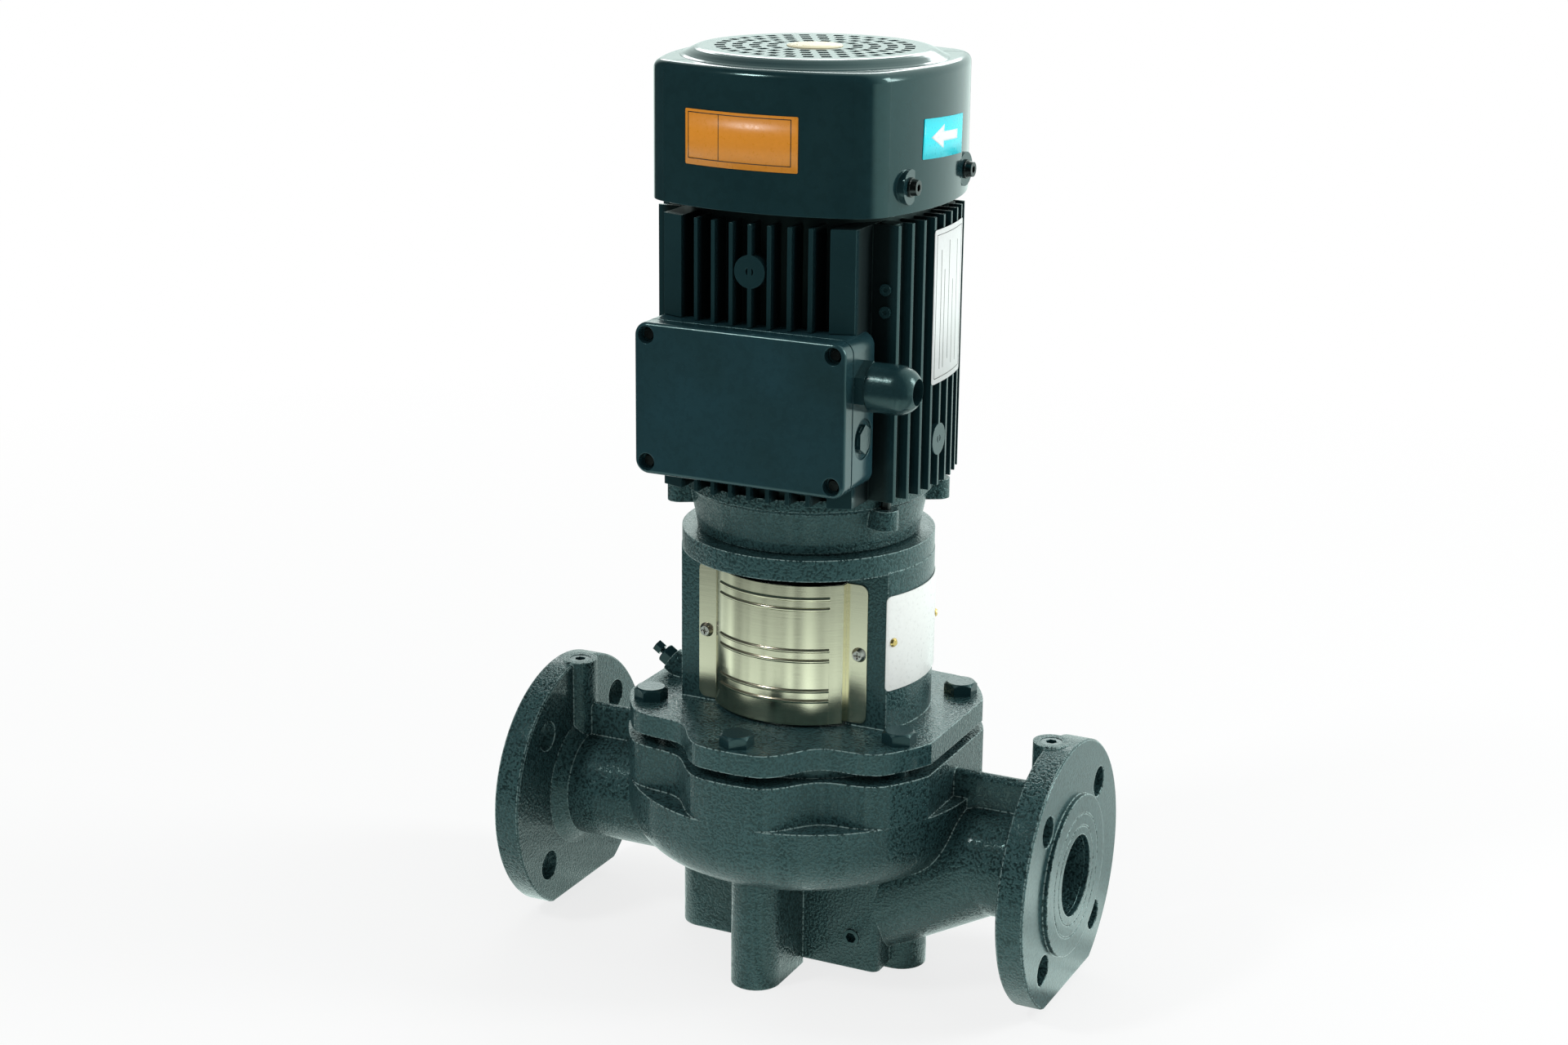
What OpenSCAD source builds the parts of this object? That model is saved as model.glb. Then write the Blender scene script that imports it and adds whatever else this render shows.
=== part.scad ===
// Vertical in-line circulation pump with flanged ports, split coupling and finned motor.
// The origin is on the shaft axis at the plane of the feet; ports along X, terminal box towards -Y.

/* [Ports] */
// Height of the port axis above the feet
port_h = 79; // [79:1:110]
// Length between the two flange faces
port_span = 360; // [350:2:400]
// Diameter of the flow bore
bore_d = 50; // [44:1:52]
// Wall of the pipes between flange and casing
pipe_wall = 9; // [7:0.5:9]
// Outside diameter of a flange
flange_od = 165; // [160:1:172]
// Thickness of a flange without its raised face
flange_t = 17; // [15:0.5:20]
// Diameter of the raised sealing face
face_d = 99; // [92:1:102]
// Height of the raised sealing face
face_t = 3; // [2:0.5:4]
// Pitch circle of the flange bolt holes
flange_pcd = 125; // [122:1:130]
// Diameter of a flange bolt hole
flange_hole_d = 19; // [15:0.5:20]
// Distance from the port axis down to the flat on each flange
flange_flat = 71; // [66:1:78]
// Width of the gauge boss on each flange
boss_w = 22; // [19:1:26]
// Thread diameter of the gauge tapping
gauge_d = 13.2; // [10:0.2:14]
// Thickness of the web between casing and flange
web_t = 8; // [6:1:14]
// Height of the web above the port axis
web_h = 55; // [46:1:62]
// Fall of the suction pipe towards the casing foot
suction_slope = 28; // [24:1:30]
// Depth of the suction chamber axis below the port axis
sump_drop = 41.5; // [40:0.5:42]

/* [Casing] */
// Outer radius of the volute casing
casing_r = 110; // [108:1:116]
// Height of the casing rim above the port axis
rim_h = 65; // [63:1:72]
// Depth of the casing floor below the port axis
floor_drop = 8; // [6:0.5:10]
// Radius of the rounded lower edge of the casing
casing_round = 30; // [20:1:34]
// Height of the pocket ledges above the port axis
ledge_h = 38; // [30:1:48]
// Depth of the hollows between the bolt lobes
scallop = 17; // [8:1:17]
// Half width across the two flats beside the ports
flat_half = 101; // [98:1:106]
// Radius of the bolt circle of the casing
bolt_r = 96; // [95:0.5:98]
// Thread diameter of the casing bolts
bolt_d = 12; // [8:1:12]
// Width across flats of a casing bolt head
bolt_af = 18; // [15:1:19]
// Height of the volute passage
volute_h = 38; // [36:1:40]
// Radius of the register bore for the cover
register_r = 84; // [82:0.5:85]
// Radius of a foot
foot_r = 15.5; // [12:0.5:18]
// Distance of a foot from the shaft axis
foot_pos = 67.5; // [62:0.5:74]
// Thread diameter of the foot tappings
foot_thread_d = 12; // [8:1:14]
// Half width of the suction chamber block
sump_half = 34; // [33:0.5:38]

/* [Impeller] */
// Diameter of the impeller
impeller_d = 132; // [110:1:136]
// Diameter of the impeller eye
eye_d = 46; // [40:1:47]
// Number of vanes
vane_count = 6; // [5:1:8]
// Thickness of a vane
vane_t = 3; // [2:0.5:4]
// Radius of the pump shaft
shaft_r = 11; // [10:0.5:12]
// Running clearance at the wear ring
ring_gap = 0.3; // [0.2:0.05:0.5]

/* [Stool] */
// Thickness of the stool flange
stool_t = 13.5; // [11:0.5:18]
// Thickness of the casing cover where it is clamped
cover_t = 6.5; // [5:0.5:9]
// Height of the stool from its foot face to the motor face
stool_h = 124; // [122:1:140]
// Outer radius of the stool columns
column_r = 77; // [75:0.5:80]
// Wall of a stool column
column_t = 10; // [7:0.5:12]
// Half width of a stool column, which is the plane of its guard pads
pad_y = 35; // [33:0.5:37]
// Thickness of the motor ring on top of the stool
ring_t = 13; // [11:0.5:16]
// Radius of the coupling
coupling_r = 25; // [24:0.5:28]
// Length of the coupling
coupling_h = 72; // [64:1:74]

/* [Guard] */
// Sheet thickness of the coupling guards
guard_t = 1; // [0.8:0.1:1.5]
// Outer radius of the curved guard panel
guard_r = 58.5; // [56:0.5:60]
// Height of a guard
guard_h = 87; // [70:1:90]
// Width of the flat strip at each side of a guard
strip_w = 14.5; // [12:0.5:16]
// Radius of an embossed bead
bead_r = 1.3; // [0.8:0.1:1.8]

/* [Motor] */
// Height of the lower end shield
shield_h = 35.5; // [34:0.5:42]
// Length of the stator housing
housing_h = 166; // [160:1:190]
// Half width of the finned housing at the middle of a side
fin_reach = 83.5; // [81:0.5:86]
// Radius of the bow of each side
side_bow = 165; // [140:5:300]
// Distance between neighbouring fins
fin_pitch = 12; // [11:0.5:13]
// Thickness of a fin
fin_t = 2.4; // [1.6:0.2:3]
// Radius of the stator pack
stator_r = 66; // [64:0.5:67]
// Radius of the rotor core
rotor_r = 38; // [34:1:40]
// Distance of the fan cover outside the fins
cover_gap = 1; // [0.5:0.5:3]
// Sheet thickness of the fan cover
cover_sheet = 1.5; // [1:0.25:2.5]
// Height of the fan cover up to its shoulder
cover_h = 79.5; // [74:0.5:90]
// Radius of the upright corners of the fan cover
cover_corner = 25; // [18:1:32]
// Radius of the rounded shoulder of the fan cover
cover_round = 5.5; // [4:0.5:10]
// Height of the round grille above the shoulder
dome_h = 5; // [3:0.5:10]
// Radius of the outermost ring of grille holes
grille_r = 55; // [50:1:58]
// Width of a grille hole
hole_w = 6; // [4:0.5:7]
// Distance between neighbouring grille holes
hole_pitch = 10; // [9:0.5:12]

/* [Terminal box] */
// Width of the terminal box
box_w = 133; // [128:1:136]
// Height of the terminal box
box_h = 89.5; // [86:0.5:92]
// Depth of the terminal box base in front of its seat
base_depth = 16; // [14:0.5:22]
// Thickness of the lid
lid_t = 10.5; // [8:0.5:14]
// Radius of the soft front edge of the lid
lid_round = 2.5; // [1:0.5:4]
// Radius of the cable gland thread
gland_r = 8; // [6:0.5:9]
// Radius of the cable hole in the gland
cable_r = 7; // [4:0.5:7]

/* [Hidden] */
$fn = 64;
fit = 0.05;
near = 0.3;
proud = 0.05;
eps = 1;

paint = [0.10, 0.24, 0.27];
steel = [0.75, 0.74, 0.70];
rubber_black = [0.07, 0.07, 0.07];
copper = [0.72, 0.42, 0.20];

bore_r = bore_d / 2;
pipe_r = bore_r + pipe_wall;
face_x = port_span / 2;
flange_x = face_x - face_t - flange_t;
knee_x = face_x - 57;
sump_x = knee_x - sump_drop / tan(suction_slope);
sump_right = sump_x + 21;
sump_left = -36;
sump_bottom = port_h - 75;

rim_z = port_h + rim_h;
ledge_z = port_h + ledge_h;
floor_z = port_h - floor_drop;
cavity_z = floor_z + 12;
cavity_top = cavity_z + volute_h;
stool_z = rim_z + cover_t;
stool_deck = stool_z + stool_t;
motor_z = stool_z + stool_h;
ring_z = motor_z - ring_t;
housing_z = motor_z + shield_h;
housing_top = housing_z + housing_h;
fin_top = housing_top - 5;
cover_z = housing_top + 1.5;
cover_reach = fin_reach + cover_gap;

bolt_angles = [30, 90, 150, 210, 270, 330];
scallop_angles = [60, 120, 240, 300];
scallop_half = 21;
shank_r = bolt_d / 2;
foot_thread_r = foot_thread_d / 2;
foot_thread_h = 13;
gauge_r = gauge_d / 2;
gauge_x = flange_x + 1;
flat_round = 10;
face_grooves = [bore_r + 5, bore_r + 12.5];
gauge_top = port_h + flange_od / 2 + 0.5;
plug_len = 10;
drain_pos = [sump_right - 17.5, -sump_half, port_h - 54.4];
drain_r = 5.3;

neck_r = eye_d / 2 + 4;
wear_inner = neck_r + ring_gap;
wear_outer = wear_inner + 5.5;
impeller_z = cavity_z + 3;
hub_top = impeller_z + 30;
hub_r = 17;
impeller_bore = 8;
seal_z = hub_top + 6;
seat_z = cavity_top + 18;
seat_outer = shaft_r + 7.5;
throat_r = shaft_r + 2;
chamber_r = shaft_r + 10;
cover_top = stool_z + 5;
cover_spigot = 45;

coupling_z = stool_deck + 12;
coupling_mid = coupling_z + coupling_h * 0.58;
half_gap = 2;
coupling_screw_x = 16.5;
motor_shaft_r = 9.5;

spigot_r = 40;
flange_screw_r = 50;
bearing_or = 23.5;
bearing_ir = 10;
bearing_w = 14;
ball_pitch = (bearing_or + bearing_ir) / 2;
ball_r = 4.2;
lower_bearing_z = motor_z + 13;
upper_bearing_z = housing_top - 24;
rotor_body_r = 13;
pack_z = housing_z + 31;
pack_h = 100;
shell_r = stator_r + 5;
corner_r = 95.5;
column_out = 4 * fin_pitch + 12.4;
lug_angles = [30, 150, 210, 330];
tie_r = 78;
lug_z = motor_z + 16.5;
lug_t = 12;
frame_screw_x = 69.3;
frame_screw_z = [fin_top - 49.4, fin_top - 36.5];
fan_shaft_r = 8;

guard_z = stool_deck + 2;
guard_foot_x = 42.5;
guard_screw_x = guard_foot_x + strip_w * 0.58;
guard_screw_z = guard_z + guard_h / 2;
bead_sweep = 76;
bead_heights = [for (f = [0.21, 0.5, 0.87], s = [-3.2, 3.2]) f * guard_h + s];

plate_span = 56;
plate_h = 72;
plate_z = stool_deck + 25;
plate_t = 0.8;

vent_tilt = 34;
vent_base = [-93.6, 0, port_h + 93.4];
vent_boss_r = 8;
vent_thread_r = 5;

seat_y = -70;
base_front = seat_y - base_depth;
gasket_t = 1;
lid_back = base_front - gasket_t;
lid_front = lid_back - lid_t;
box_z = port_h + 287.9;
box_corner = 8;
cheek_y = -58;
pad_half = box_w / 2 - 6;
lid_screw_x = box_w / 2 - 7.7;
lid_screw_z = box_h / 2 - 7.2;
gland_pos = [box_w / 2, -72, box_z + 16.4];
blank_pos = [box_w / 2, -71, box_z - 14.8];
entry_depth = box_w / 2 - pad_half - 0.6;
gland_af = 26;
gland_clear_r = gland_af / sqrt(3) + 0.8;

cover_screws = [[0, -43], [0, 33], [1, 0]];
cover_screw_z = cover_z + 15;
cover_seat_r = 10;
dome_r = 80;
dome_top_r = 66;

function turn(a, c) = abs(((a - c + 540) % 360) - 180);
function dip(a) = max([for (c = scallop_angles)
    turn(a, c) < scallop_half ? (1 + cos(180 * turn(a, c) / scallop_half)) / 2 : 0]);
function cover_seat_x(y) = cover_reach + 1.3 - y * y / (2 * side_bow);
function dome_z(r) = dome_h * (1 + cos(180 * (r - dome_top_r) / (dome_r - dome_top_r))) / 2;

// Places children on a circle about the shaft
module ring_of(angles, r) {
    for (a = angles) rotate([0, 0, a]) translate([r, 0, 0]) children();
}

// Mirrors children to the other side of the YZ plane as well
module both_ends() {
    children();
    mirror([1, 0, 0]) children();
}

// Lies a body that points up along +X
module along_x(pos = [0, 0, 0]) {
    translate(pos) rotate([0, 90, 0]) children();
}

// Lies a body that points up along -Y
module along_front(pos = [0, 0, 0]) {
    translate(pos) rotate([90, 0, 0]) children();
}

module tube(outer, inner, h) {
    difference() {
        cylinder(r = outer, h = h);
        translate([0, 0, -eps]) cylinder(r = inner, h = h + 2 * eps);
    }
}

module hexagon(af, h) {
    cylinder(r = af / sqrt(3), h = h, $fn = 6);
}

// Hexagon head whose upper corners are turned off
module bolt_head(af, h) {
    intersection() {
        hexagon(af, h);
        cylinder(r1 = 0.47 * af + h, r2 = 0.47 * af, h = h, $fn = 48);
    }
}

module round_rect(w, h, r) {
    square([w - 2 * r, h], center = true);
    square([w, h - 2 * r], center = true);
    for (x = [-1, 1], y = [-1, 1]) translate([x * (w / 2 - r), y * (h / 2 - r)]) circle(r);
}

// Disc, or a sector of one, whose upper edge is rounded
module rounded_disc(r, round_r, h, sides = 64, sector = 360) {
    rotate_extrude(angle = sector, $fn = sides) {
        square([r - round_r, h]);
        square([r, h - round_r]);
        intersection() {
            translate([r - round_r, h - round_r]) circle(round_r);
            square([r, h]);
        }
    }
}

module rounded_bar(w, h, round_r, length) {
    rotate([90, 0, 0]) translate([0, 0, -length / 2]) linear_extrude(length) {
        translate([-w / 2, 0]) square([w, h - round_r]);
        translate([round_r - w / 2, 0]) square([w - 2 * round_r, h]);
        for (s = [-1, 1]) translate([s * (w / 2 - round_r), h - round_r]) circle(round_r);
    }
}

// Block with upright corners of one radius and a smaller round along its upper edge
module pillow(w, h, corner, thick, round_r) {
    for (x = [-1, 1], y = [-1, 1]) translate([x * (w / 2 - corner), y * (h / 2 - corner)])
        rounded_disc(corner, round_r, thick);
    rounded_bar(w, thick, round_r, h - 2 * corner);
    rotate([0, 0, 90]) rounded_bar(h, thick, round_r, w - 2 * corner);
}

// Wavy outline of the bolted joint: full at the bolts, hollow between each pair
module lobed_outline(r, depth) {
    intersection() {
        polygon([for (a = [0:2:358]) (r - depth * dip(a)) * [cos(a), sin(a)]]);
        square([2 * flat_half, 3 * r], center = true);
    }
}

module volute_drum() {
    translate([0, 0, floor_z]) rotate_extrude($fn = 96) {
        square([casing_r - casing_round, ledge_z - floor_z]);
        translate([0, casing_round]) square([casing_r, ledge_z - floor_z - casing_round]);
        translate([casing_r - casing_round, casing_round]) intersection() {
            circle(casing_round);
            translate([0, -casing_round]) square(casing_round);
        }
    }
    translate([0, 0, ledge_z]) linear_extrude(rim_z - ledge_z)
        lobed_outline(casing_r - proud, scallop - 2);
}

// Piece outside a round that is tangent to the rim and to the flat of the flange
module flat_corner(side) {
    inner = flange_od / 2 - flat_round;
    down = flange_flat - flat_round;
    out = sqrt(inner * inner - down * down);
    grow = (flange_od / 2 + eps) / inner;
    difference() {
        polygon([[down, side * out], [flange_flat + eps, side * out],
            [flange_flat + eps, side * out * grow], grow * [down, side * out]]);
        translate([down, side * out]) circle(flat_round + proud);
    }
}

module flange_body() {
    difference() {
        along_x([flange_x, 0, port_h]) rotate_extrude($fn = 96) difference() {
            union() {
                polygon([[0, 0], [flange_od / 2 - 1, 0], [flange_od / 2, 1],
                    [flange_od / 2, flange_t - 1], [flange_od / 2 - 1, flange_t], [0, flange_t]]);
                square([face_d / 2, flange_t + face_t]);
                polygon([[pipe_r - 3, 1], [pipe_r + 8, 1], [pipe_r + 8, 0], [pipe_r - 3, -11]]);
            }
            for (r = face_grooves) translate([r, flange_t + face_t - 0.6]) square([0.8, 1]);
        }
        translate([flange_x - eps, -flange_od / 2, port_h - flange_flat - 30])
            cube([flange_t + face_t + 2 * eps, flange_od, 30]);
        along_x([flange_x - eps, 0, port_h]) linear_extrude(flange_t + 2 * eps)
            for (side = [-1, 1]) flat_corner(side);
        along_x([flange_x - eps, 0, port_h])
            ring_of([45, 135, 225, 315], flange_pcd / 2)
            cylinder(r = flange_hole_d / 2, h = flange_t + 2 * eps, $fn = 32);
    }
}

// Boss with a web towards the casing whose upper edge is round
module gauge_boss() {
    translate([gauge_x, 0, port_h]) cylinder(r = boss_w / 2, h = gauge_top - port_h);
    along_x([casing_r - 15, 0, port_h]) linear_extrude(gauge_x - casing_r + 15) {
        translate([web_t / 2 - web_h, -web_t / 2]) square([web_h - web_t / 2, web_t]);
        translate([web_t / 2 - web_h, 0]) circle(web_t / 2);
    }
}

module gauge_tapping() {
    translate([gauge_x, 0, gauge_top - plug_len]) cylinder(r = gauge_r, h = plug_len + eps);
    translate([gauge_x, 0, port_h]) cylinder(r = 3, h = gauge_top - port_h, $fn = 24);
}

module suction_outer() {
    along_x([knee_x, 0, port_h]) cylinder(r = pipe_r, h = flange_x - knee_x + eps);
    translate([knee_x, 0, port_h]) sphere(pipe_r + proud);
    translate([knee_x, 0, port_h]) rotate([0, -90 - suction_slope, 0])
        cylinder(r = pipe_r, h = (knee_x - sump_x - 4) / cos(suction_slope));
    translate([(sump_left + sump_right) / 2, 0, sump_bottom])
        linear_extrude(floor_z - sump_bottom + eps)
        round_rect(sump_right - sump_left, 2 * sump_half, 5);
}

module suction_passage() {
    along_x([knee_x, 0, port_h]) cylinder(r = bore_r, h = face_x - knee_x + eps);
    translate([knee_x, 0, port_h]) sphere(bore_r + proud);
    translate([knee_x, 0, port_h]) rotate([0, -90 - suction_slope, 0])
        cylinder(r = bore_r, h = sump_drop / sin(suction_slope));
    translate([sump_x, 0, port_h - sump_drop]) sphere(bore_r + proud);
    along_x([0, 0, port_h - sump_drop]) cylinder(r = bore_r, h = sump_x);
    translate([0, 0, port_h - sump_drop]) sphere(bore_r + proud);
    translate([0, 0, port_h - sump_drop]) cylinder(r = bore_r, h = sump_drop);
}

module discharge_outer() {
    along_x([-flange_x - eps, 0, port_h]) cylinder(r = pipe_r, h = flange_x - 74);
    translate([-75, 0, port_h]) sphere(pipe_r + proud);
}

module discharge_passage() {
    along_x([-face_x - eps, 0, port_h]) cylinder(r = bore_r, h = face_x - 77);
    translate([-78, 0, port_h]) sphere(bore_r + proud);
}

// The passage widens in the sense of rotation, clockwise seen from above
module volute_passage() {
    translate([0, 0, cavity_z]) linear_extrude(volute_h)
        polygon([for (f = [0:5:355])
            (impeller_d / 2 + 5 + (register_r - impeller_d / 2 - 3) * f / 355)
            * [cos(180 - f), sin(180 - f)]]);
    translate([0, 0, cavity_top - eps]) cylinder(r = register_r, h = rim_z - cavity_top + 2 * eps);
    translate([0, 0, floor_z - 1]) cylinder(r = wear_outer, h = cavity_z - floor_z + 2);
}

module foot(a) {
    rotate([0, 0, a]) linear_extrude(floor_z + 4) {
        translate([foot_pos, 0]) circle(foot_r);
        translate([sump_half - 1, -foot_r]) square([foot_pos - sump_half + 1, 2 * foot_r]);
    }
}

module volute_casing() {
    color(paint) difference() {
        union() {
            volute_drum();
            both_ends() flange_body();
            both_ends() gauge_boss();
            suction_outer();
            discharge_outer();
            for (a = [0:90:270]) foot(a);
        }
        suction_passage();
        discharge_passage();
        volute_passage();
        both_ends() gauge_tapping();
        ring_of(bolt_angles, bolt_r) translate([0, 0, rim_z - 26])
            cylinder(r = shank_r, h = 26 + eps, $fn = 32);
        along_front(drain_pos + [0, 14, 0]) cylinder(r = drain_r, h = 16);
        for (a = [0:90:270]) rotate([0, 0, a]) translate([foot_pos, 0, -eps])
            cylinder(r = foot_thread_r, h = foot_thread_h + eps);
    }
}

module wear_ring() {
    color("peru") translate([0, 0, floor_z]) difference() {
        cylinder(r = wear_outer - fit, h = cavity_z - floor_z);
        translate([0, 0, -eps]) cylinder(r = wear_inner, h = cavity_z - floor_z + 2 * eps);
    }
}

module casing_cover() {
    color(paint) difference() {
        rotate_extrude($fn = 96) difference() {
            union() {
                translate([throat_r, cavity_top])
                    square([register_r - 0.1 - throat_r, rim_z - cavity_top + 0.5]);
                translate([throat_r, rim_z]) square([bolt_r - shank_r - 1 - throat_r, cover_t]);
                translate([throat_r, rim_z]) square([cover_spigot - fit - throat_r, cover_top - rim_z]);
            }
            translate([0, cavity_top - eps]) square([chamber_r, seat_z - cavity_top + eps]);
            translate([0, seat_z - eps]) square([seat_outer, 6 + eps]);
            translate([register_r - 4.2, cavity_top + 8]) square([6, 5]);
        }
        translate([-78, 0, cavity_top - eps]) cylinder(r = 2, h = 60, $fn = 24);
    }
}

module cover_o_ring() {
    color(rubber_black) translate([0, 0, cavity_top + 10.5]) rotate_extrude($fn = 96)
        translate([register_r - 2.15, 0]) circle(2, $fn = 24);
}

module seal_seat() {
    color("dimgray") translate([0, 0, seat_z]) tube(seat_outer - fit, shaft_r + 1, 6);
}

module stool_columns() {
    translate([0, 0, stool_deck - eps]) linear_extrude(ring_z - stool_deck + 2 * eps)
        intersection() {
            difference() {
                circle(column_r, $fn = 96);
                circle(column_r - column_t, $fn = 96);
                square([60, 4 * column_r], center = true);
            }
            square([3 * column_r, 2 * pad_y], center = true);
        }
    for (s = [-1, 1], side = [-1, 1])
        translate([0, 0, stool_deck - eps]) linear_extrude(ring_z - stool_deck + 2 * eps)
        intersection() {
            circle(column_r, $fn = 96);
            translate([s * 59 - 16.5, side * (pad_y - 3.5) - 3.5]) square([33, 7]);
        }
}

module vent_axis() {
    translate(vent_base) rotate([0, vent_tilt - 90, 0]) children();
}

module motor_stool() {
    color(paint) difference() {
        union() {
            translate([0, 0, stool_z]) linear_extrude(stool_t)
                lobed_outline(casing_r - 1, scallop);
            stool_columns();
            translate([0, 0, ring_z]) cylinder(r = column_r - 0.3, h = ring_t, $fn = 96);
            intersection() {
                vent_axis() translate([0, 0, -30]) cylinder(r = vent_boss_r, h = 30);
                translate([-flat_half, -50, stool_z]) cube([flat_half - column_r + 4, 100, 60]);
            }
        }
        translate([0, 0, stool_z - eps])
            cylinder(r = cover_spigot, h = stool_t + 2 * eps, $fn = 96);
        translate([0, 0, ring_z - eps]) cylinder(r = spigot_r + fit, h = ring_t + 2 * eps);
        ring_of(bolt_angles, bolt_r) translate([0, 0, stool_z - eps])
            cylinder(r = shank_r + 0.5, h = stool_t + 2 * eps, $fn = 32);
        ring_of([45, 135, 225, 315], flange_screw_r) translate([0, 0, ring_z - eps])
            cylinder(r = 3.3, h = ring_t + 2 * eps, $fn = 24);
        for (x = [-1, 1]) along_front([x * guard_screw_x, pad_y + eps, guard_screw_z])
            cylinder(r = 2.5, h = 2 * pad_y + 2 * eps, $fn = 24);
        vent_axis() translate([0, 0, -12]) cylinder(r = vent_thread_r, h = 12 + eps, $fn = 32);
        vent_axis() translate([0, 0, -20]) cylinder(r = 2, h = 20, $fn = 24);
        translate([-78, 0, stool_z - eps]) cylinder(r = 2, h = stool_t - 3, $fn = 24);
        ring_of([-plate_span / 2 + 4, plate_span / 2 - 4], column_r - 3)
            along_x([0, 0, plate_z + plate_h * 0.42]) cylinder(r = 1.5, h = 5, $fn = 24);
    }
}

module casing_bolts() {
    color(paint) ring_of(bolt_angles, bolt_r) {
        translate([0, 0, stool_deck]) bolt_head(bolt_af, 7.5);
        translate([0, 0, rim_z - 24]) cylinder(r = shank_r - fit, h = stool_deck - rim_z + 25,
            $fn = 32);
    }
}

module socket_plug(r, h, af) {
    difference() {
        cylinder(r = r - fit, h = h);
        translate([0, 0, h - af * 0.8]) hexagon(af, af);
    }
}

module gauge_plugs() {
    color(paint) both_ends() translate([gauge_x, 0, gauge_top - plug_len])
        socket_plug(gauge_r, plug_len - 0.4, 6);
}

module drain_plug() {
    color(paint) along_front(drain_pos + [0, 10, 0]) socket_plug(drain_r, 11, 6);
}

module vent_plug() {
    color(paint) vent_axis() difference() {
        union() {
            bolt_head(12, 6.5);
            translate([0, 0, -10]) cylinder(r = vent_thread_r - fit, h = 10 + eps, $fn = 32);
        }
        translate([0, 0, -5]) cylinder(r = 2, h = 20, $fn = 24);
        translate([0, 0, -11]) cylinder(r = 1.2, h = 20, $fn = 24);
    }
}

module vent_screw() {
    color(paint) vent_axis() {
        translate([0, 0, -4.7]) cylinder(r = 2 - fit, h = 14, $fn = 24);
        translate([0, 0, 8.6]) hexagon(7, 5);
    }
}

module guard_outline() {
    start = -acos(guard_foot_x / guard_r);
    difference() {
        circle(guard_r, $fn = 128);
        circle(guard_r - guard_t, $fn = 128);
        translate([-guard_r - 1, -guard_r * sin(-start)]) square(2 * guard_r + 2);
        polygon([[0, 0], 2 * guard_r * [-sin(bead_sweep / 2 - 1), -cos(bead_sweep / 2 - 1)],
            2 * guard_r * [sin(bead_sweep / 2 - 1), -cos(bead_sweep / 2 - 1)]]);
    }
    for (s = [-1, 1]) {
        translate([s * (guard_foot_x - guard_t / 2) - guard_t / 2, -pad_y - guard_t])
            mirror([0, 1]) square([guard_t, guard_r * sin(-start) - pad_y - guard_t / 2]);
        translate([s * (guard_foot_x - guard_t + strip_w / 2) - strip_w / 2, -pad_y - guard_t])
            square([strip_w, guard_t]);
    }
}

// Sheet with pairs of pressed beads, turned about the pump axis
module beaded_panel() {
    translate([0, 0, guard_z]) rotate([0, 0, -90 - bead_sweep / 2])
        rotate_extrude(angle = bead_sweep, $fn = 128) translate([guard_r + proud, 0])
        difference() {
            union() {
                translate([-guard_t, -proud]) square([guard_t, guard_h + 2 * proud]);
                for (z = bead_heights) translate([-0.4, z]) circle(bead_r, $fn = 24);
            }
            for (z = bead_heights) translate([-0.4 - guard_t, z]) circle(bead_r, $fn = 24);
        }
}

module guard() {
    outer_x = guard_foot_x - guard_t + strip_w;
    difference() {
        union() {
            translate([0, 0, guard_z]) linear_extrude(guard_h) guard_outline();
            beaded_panel();
        }
        for (s = [-1, 1]) along_front([s * guard_screw_x, -pad_y + eps, guard_screw_z])
            cylinder(r = 2.8, h = 4, $fn = 24);
        for (s = [-1, 1], t = [0, 1])
            along_front([s * outer_x, -pad_y + eps, guard_z + t * guard_h])
            linear_extrude(4) difference() {
                square(10, center = true);
                translate([-s * 5, t > 0 ? -5 : 5]) circle(5, $fn = 48);
            }
    }
}

module coupling_guard_front() {
    color(steel) guard();
}

module coupling_guard_rear() {
    color(steel) mirror([0, 1, 0]) guard();
}

module guard_screw() {
    difference() {
        union() {
            cylinder(r1 = 4.6, r2 = 3, h = 3);
            translate([0, 0, -7]) cylinder(r = 2.4, h = 8, $fn = 24);
        }
        for (a = [0, 90]) rotate([0, 0, a]) translate([-2.2, -0.5, 1.2]) cube([4.4, 1, 3]);
    }
}

module guard_screws() {
    color(steel) for (s = [-1, 1], m = [0, 1]) mirror([0, m, 0])
        along_front([s * guard_screw_x, -pad_y - guard_t, guard_screw_z]) guard_screw();
}

module name_plate() {
    color("white") difference() {
        translate([0, 0, plate_z]) rotate([0, 0, -plate_span / 2])
            rotate_extrude(angle = plate_span, $fn = 128)
            translate([column_r + fit, 0]) square([plate_t, plate_h]);
        ring_of([-plate_span / 2 + 4, plate_span / 2 - 4], column_r - 3)
            along_x([0, 0, plate_z + plate_h * 0.42]) cylinder(r = 1.6, h = 8, $fn = 24);
    }
}

module plate_rivets() {
    color("gold") ring_of([-plate_span / 2 + 4, plate_span / 2 - 4], column_r)
        along_x([0, 0, plate_z + plate_h * 0.42]) {
            translate([0, 0, -2.5]) cylinder(r = 1.4, h = 4, $fn = 24);
            translate([0, 0, plate_t + 0.4]) cylinder(r1 = 2.8, r2 = 1.8, h = 1.2, $fn = 24);
        }
}

module vane() {
    sweep_r = impeller_d * 0.42;
    translate([sweep_r * 0.62, sweep_r * 0.55]) difference() {
        circle(sweep_r, $fn = 96);
        circle(sweep_r - vane_t, $fn = 96);
    }
}

module vane_pair_outline() {
    for (k = [0:vane_count - 1]) rotate([0, 0, k * 360 / vane_count]) intersection() {
        vane();
        translate([0, -impeller_d]) square([impeller_d, impeller_d]);
        difference() {
            circle(impeller_d / 2 - 1, $fn = 96);
            circle(eye_d / 2 - 1, $fn = 96);
        }
    }
}

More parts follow.
